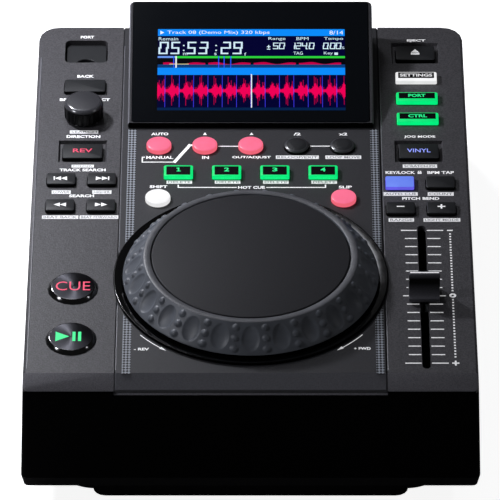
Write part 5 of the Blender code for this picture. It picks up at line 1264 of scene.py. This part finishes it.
class PLAYER_OT_knob(bpy.types.Operator):
    """Make the browse knob and finish its encoder"""

    bl_idname = "player.knob"
    bl_label = "Browse knob"

    def execute(self, context):
        x, y, low, high, radius = measures("browse_knob")
        bore = 3.4 * MM
        section = [
            (bore, high - 2 * MM), (bore, low + 0.4 * MM), (radius, low), (radius, high - 1.6 * MM),
            (radius - 1.5 * MM, high), (0, high),
        ]
        bm = bmesh.new()
        turned_form(bm, rounded_profile(section, 0.9 * MM, 4), 128, (x, y))
        bmesh.ops.holes_fill(bm, edges=[edge for edge in bm.edges if len(edge.link_faces) == 1], sides=0)
        flutes = 16
        for vert in bm.verts:
            out = Vector((vert.co.x - x, vert.co.y - y))
            if out.length > radius - 0.1 * MM and vert.co.z < high - 2.1 * MM:
                turn = math.atan2(out.y, out.x) * flutes / math.tau
                if abs(turn - round(turn)) < 0.13:
                    vert.co.x -= out.x / out.length * 0.4 * MM
                    vert.co.y -= out.y / out.length * 0.4 * MM
        # One black knob in three tones: the flank darkened as painted shade, the rim lightened as painted
        # highlight
        shells = [
            black_abs("knob ABS", linear("#2b2b2f"), 0.3, 0.35),
            black_abs("knob flank, painted shade", linear("#030304"), 0.35, 0.15),
            black_abs("knob rim, painted highlight", linear("#3c3c40"), 0.22, 1.0),
        ]
        bmesh.ops.recalc_face_normals(bm, faces=bm.faces)
        for face in bm.faces:
            rise = abs(face.normal.z)
            if rise < 0.35:
                face.material_index = 1
            elif rise < 0.96 and face.calc_center_median().z > high - 2 * MM:
                face.material_index = 2
        piece("browse_knob_cap", bm, "browse_control", shells, 35, ("browse_knob",))
        steel = plated_steel("encoder steel", linear("#b3b6ba"), 0.35)
        smoothed("encoder_body", [steel])
        smoothed("encoder_shaft", [steel], body="browse_control")
        paint("encoder_plunger", plated_steel("plunger brass", linear("#b08a4a"), 0.4))
        return {"FINISHED"}


class PLAYER_OT_fader(bpy.types.Operator):
    """Make the slider cap and print its scale"""

    bl_idname = "player.fader"
    bl_label = "Pitch fader"

    def execute(self, context):
        sheet = context.scene.player_fader
        low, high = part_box("fader_cap")
        x, y = measures("fader_cap")[:2]
        half, ridge, width = (high.y - low.y) / 2, 1.1 * MM, high.x - low.x
        foot, top = low.z + 2.2 * MM, high.z
        flank = [(half, low.z), (half, foot)]
        for step in range(1, 14):
            share = step / 14
            waist = 0.8 * share ** 0.55 + 0.2 * share ** 6
            flank.append((half - (half - ridge) * waist, foot + (top - foot) * share ** 1.25))
        flank.append((ridge, top))
        section = [(-a, b) for a, b in flank] + flank[::-1]
        bm = bmesh.new()
        pulled_face(bm, [(x - width / 2, y + a, b) for a, b in section], (width, 0, 0))
        bevel(bm, [edge for edge in bm.edges if edge.calc_face_angle(0) > math.radians(40)], 0.3 * MM)
        slab(bm, x, y, top - 0.02 * MM, width - 1.0 * MM, 0.75 * MM, index=1)
        cap = self.slider_abs(sheet.cap, foot, top)
        white = pad_ink("white slider line", linear("#f2f2f2"), 0.4)
        piece("fader_cap_grip", bm, "pitch_slider", [cap, white], 30, ("fader_cap",))
        # The frame is set near black so that the slot reads dark: partly a black dust shield, partly painted
        # shade in the slot.
        paint("fader_body", black_abs("fader frame", linear("#040405"), 0.6, 0.05))
        paint("fader_lever", plated_steel("fader steel", linear("#3c3e40"), 0.4))
        self.scale(sheet)
        return {"FINISHED"}

    def slider_abs(self, tone, foot, top):
        """Polished ABS in one tone, with a painted shade that takes its waist almost to black, for the unlit
        front of the room that it mirrors; the crown and the toe keep the tone.
        """
        material, tree, shader, where = start("slider cap ABS", tone, 0.35, Specular_IOR_Level=0.15)
        height = add(tree, "ShaderNodeSeparateXYZ", {"Vector": where}).outputs["Z"]
        # Painted shade: the crown and the toe keep the tone, and the waist between them is darkened toward
        # black.
        crown = spread(tree, height, 0.0, 1.0, top - 2.4 * MM, top)
        toe = spread(tree, height, 1.0, 0.01, foot, foot + 7.0 * MM)
        grain = vary(tree, shader, noise(tree, where, 0.5 * MM), tone, 0.9, 1.1)
        dim = blend(tree, reckon(tree, "MAXIMUM", crown, toe), (0, 0, 0, 1), grain)
        tree.links.new(dim, shader.inputs["Base Color"])
        return material

    def scale(self, sheet):
        """The marks on both sides of the slot, and right of them the dotted line with its signs."""
        bm = bmesh.new()
        step = (sheet.high - sheet.low) / (sheet.ticks - 1)
        for tick in range(sheet.ticks):
            long = tick % ((sheet.ticks - 1) // 2) == 0
            for near, far in ((80.9, 73.2 if long else 75.0), (85.9, 93.8 if long else 92.3)):
                print_box(bm, (near + far) / 2, sheet.low + tick * step, abs(far - near), 0.7)
        column = 97.1
        middle = (sheet.high + sheet.low) / 2 + 0.2
        for first, last in ((12.0, middle - 3.2), (middle + 3.8, sheet.high - 2.8)):
            count = int((last - first) / 2.1)
            for dot in range(count + 1):
                print_box(bm, column, first + dot * (last - first) / count, 0.9, 1.0)
        print_box(bm, column, sheet.high, 2.8, 0.9)
        print_box(bm, column, sheet.low, 3.4, 0.9)
        print_box(bm, column, sheet.low, 0.9, 3.6, 0.5)
        inner, outer, top = 0.65 * MM, 1.65 * MM, DECK_Z + PRINT_THICK
        ring = bmesh.new()
        section = [(inner, DECK_Z), (outer, DECK_Z), (outer, top), (inner, top)]
        turned_form(ring, section, 32, spot(column, middle))
        ink = pad_ink("white scale ink", linear("#f2f2f2"), 0.3)
        piece("fader_scale", bm, "case", [ink])
        piece("fader_zero", ring, "case", [ink])


class PLAYER_OT_port(bpy.types.Operator):
    """Finish the memory port and its cap"""

    bl_idname = "player.port"
    bl_label = "Memory port"

    def execute(self, context):
        rubber = key_rubber("port cap rubber", linear("#232426"))
        smoothed("port_cap", [rubber], 0.25 * MM, body="port_cap")
        paint("memory_port", plated_steel("port shell steel", linear("#c0c2c5"), 0.3))
        return {"FINISHED"}


class PLAYER_OT_rear(bpy.types.Operator):
    """Finish the rear sockets and the power key"""

    bl_idname = "player.rear"
    bl_label = "Rear sockets"

    def execute(self, context):
        black = black_abs("socket housing", linear("#0e0e10"), 0.35)
        smoothed("phono_socket_pair", [black])
        smoothed("dc_inlet", [black])
        smoothed("data_socket", [plated_steel("data shell steel", linear("#c0c2c5"), 0.3)])
        rubber = key_rubber("power key rubber", linear("#1d1e20"))
        smoothed("power_key", [rubber], 0.2 * MM, body="power")
        tints = [pad_ink("white phono ring", linear("#e4e4e2")), pad_ink("red phono ring", linear("#b3161c"))]
        self.rings(tints)
        self.labels(tints[0])
        return {"FINISHED"}

    def rings(self, tints):
        """The coloured rings round the two phono sockets, white and red."""
        profile = (
            (1.9, 0), (3.9, 0), (4.15, 0.3), (4.15, 8.6), (4.2, 8.7), (4.2, 9.0), (3.6, 9.4), (1.9, 9.4)
        )
        low, high = measures("power_key")[2:4]
        axis_z = (low + high) / 2
        end_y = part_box("phono_socket_pair")[1].y - 9.45 * MM
        lying = Matrix.Rotation(math.radians(-90), 4, "X")
        bm = bmesh.new()
        for index, side in enumerate((-7.25, 7.25)):
            old = set(bm.verts)
            turned_form(bm, [(radius * MM, z * MM) for radius, z in profile], 40)
            verts = [vert for vert in bm.verts if vert not in old]
            x = measures("phono_socket_pair")[0] + side * MM
            bmesh.ops.transform(bm, matrix=Matrix.Translation((x, end_y, axis_z)) @ lying, verts=verts)
            tinted(verts, index)
        piece("phono_rings", bm, "case", tints)

    def labels(self, ink):
        """Plain words under the rear sockets."""
        labels = (
            ("AUDIO OUT", "phono_socket_pair"), ("DATA", "data_socket"), ("POWER IN", "dc_inlet"),
            ("ON/OFF", "power_key"),
        )
        bm = bmesh.new()
        for text, node in labels:
            words(bm, text, -measures(node)[0], 0, 0, len(text) * 1.9 * MM, 2.2 * MM)
        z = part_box("data_socket")[0].z - 4.5 * MM
        low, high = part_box("top_case")
        wall_y = high.y - 0.035 * (z - low.z)
        facing = Matrix.Rotation(math.pi, 4, "Z") @ Matrix.Rotation(math.radians(88), 4, "X")
        bmesh.ops.transform(
            bm, matrix=Matrix.Translation((0, wall_y - 0.01 * MM, z)) @ facing, verts=bm.verts
        )
        piece("rear_lettering", bm, "case", [ink])


class PLAYER_OT_inside(bpy.types.Operator):
    """Finish the boards inside the case"""

    bl_idname = "player.inside"
    bl_label = "Boards"

    def execute(self, context):
        board = circuit_board(linear("#1d5a33"))
        paint("key_board", board)
        paint("main_board", board)
        return {"FINISHED"}


class PLAYER_OT_stage(bpy.types.Operator):
    """Set the pale floor, soft lamps and camera"""

    bl_idname = "player.stage"
    bl_label = "Stage"

    def execute(self, context):
        sheet = context.scene.player_stage
        bm = bmesh.new()
        level = Matrix.Translation((0, 0, CAD_LOW.z - 0.05 * MM))
        bmesh.ops.create_grid(bm, x_segments=2, y_segments=2, size=30, matrix=level)
        mesh = bpy.data.meshes.new("pale_floor")
        bm.to_mesh(mesh)
        bm.free()
        floor = bpy.data.objects.new("pale_floor", mesh)
        context.scene.collection.objects.link(floor)
        mesh.materials.append(self.floor_finish(sheet))
        self.world(context.scene, sheet)
        for name, place, size, feed, share in LAMPS:
            self.lamp(name, Vector(place), size, getattr(sheet, feed) * share)
        self.camera(context.scene)
        return {"FINISHED"}

    def floor_finish(self, sheet):
        """Painted floor: the lamps leave the object's shadow on it, and the rest is white to the camera."""
        material, tree, shader, where = start("white painted floor", sheet.floor, 0.9, Specular_IOR_Level=0.0)
        vary(tree, shader, noise(tree, where, 0.4, 2.0), sheet.floor, 0.99, 1.0)
        shader.inputs["Emission Color"].default_value = (1, 1, 1, 1)
        path = add(tree, "ShaderNodeLightPath")
        lift = reckon(tree, "MULTIPLY", path.outputs["Is Camera Ray"], 0.9)
        tree.links.new(lift, shader.inputs["Emission Strength"])
        return material

    def world(self, scene, sheet):
        """White to the camera, and a faint light from all round for the object."""
        world = bpy.data.worlds.new("studio")
        scene.world = world
        world.use_nodes = True
        tree = world.node_tree
        background = tree.nodes["Background"]
        background.inputs["Color"].default_value = (1, 1, 1, 1)
        path = add(tree, "ShaderNodeLightPath")
        strength = spread(tree, path.outputs["Is Camera Ray"], sheet.world, 1.0)
        tree.links.new(strength, background.inputs["Strength"])

    def lamp(self, name, place, size, power):
        """A card of light that faces the deck's middle."""
        light = bpy.data.lights.new(name, "AREA")
        light.shape = "RECTANGLE"
        light.size, light.size_y = size
        light.energy = power
        light.color = (0.96, 0.97, 1.04)
        obj = bpy.data.objects.new(name, light)
        obj.location = place
        aim = Vector((0, 0, DECK_Z))
        obj.rotation_euler = (aim - place).to_track_quat("-Z", "Y").to_euler()
        bpy.context.scene.collection.objects.link(obj)

    def camera(self, scene):
        """A very long lens, looking down at 38 degrees, whose frame is the photograph's 500 by 500."""
        frame_side, focal, sensor = 500, 5730.0, 36
        pitch, distance = math.radians(37.53), 2817.6 * MM
        right_shift, down_shift = 0.9, 57.6
        data = bpy.data.cameras.new("camera")
        data.sensor_width = sensor
        data.lens = focal / frame_side * sensor
        data.clip_end = 50
        obj = bpy.data.objects.new("camera", data)
        ahead = Vector((0, math.cos(pitch), -math.sin(pitch)))
        obj.location = Vector((0, deck_y(140), DECK_Z)) - ahead * distance
        lower = pitch + math.atan(down_shift / focal)
        obj.rotation_euler = (math.pi / 2 - lower, 0, math.atan(right_shift / focal))
        scene.collection.objects.link(obj)
        scene.camera = obj


OPERATORS = (
    PLAYER_OT_case, PLAYER_OT_lettering, PLAYER_OT_net, PLAYER_OT_keys, PLAYER_OT_transport, PLAYER_OT_jog,
    PLAYER_OT_display, PLAYER_OT_knob, PLAYER_OT_fader, PLAYER_OT_port, PLAYER_OT_rear, PLAYER_OT_inside,
    PLAYER_OT_stage,
)


class PLAYER_PT_panel(bpy.types.Panel):
    bl_idname = "PLAYER_PT_panel"
    bl_label = "DJ Media Player"
    bl_space_type = "VIEW_3D"
    bl_region_type = "UI"
    bl_category = "Player"

    def draw(self, context):
        for operator in OPERATORS:
            self.layout.operator(operator.bl_idname)
        for name, group in SHEETS.items():
            box = self.layout.box()
            for item in group.__annotations__:
                box.prop(getattr(context.scene, name), item)


def register():
    for group in SHEETS.values():
        bpy.utils.register_class(group)
    for name, group in SHEETS.items():
        setattr(bpy.types.Scene, name, PointerProperty(type=group))
    for operator in OPERATORS:
        bpy.utils.register_class(operator)
    bpy.utils.register_class(PLAYER_PT_panel)


def unregister():
    bpy.utils.unregister_class(PLAYER_PT_panel)
    for operator in reversed(OPERATORS):
        bpy.utils.unregister_class(operator)
    for name in SHEETS:
        delattr(bpy.types.Scene, name)
    for group in reversed(list(SHEETS.values())):
        bpy.utils.unregister_class(group)


def main():
    register()
    bpy.context.scene.view_settings.view_transform = "Standard"
    bpy.ops.player.case()
    bpy.ops.player.lettering()
    bpy.ops.player.net()
    bpy.ops.player.keys()
    bpy.ops.player.transport()
    bpy.ops.player.jog()
    bpy.ops.player.display()
    bpy.ops.player.knob()
    bpy.ops.player.fader()
    bpy.ops.player.port()
    bpy.ops.player.rear()
    bpy.ops.player.inside()
    bpy.ops.player.stage()


if __name__ == "__main__":
    main()
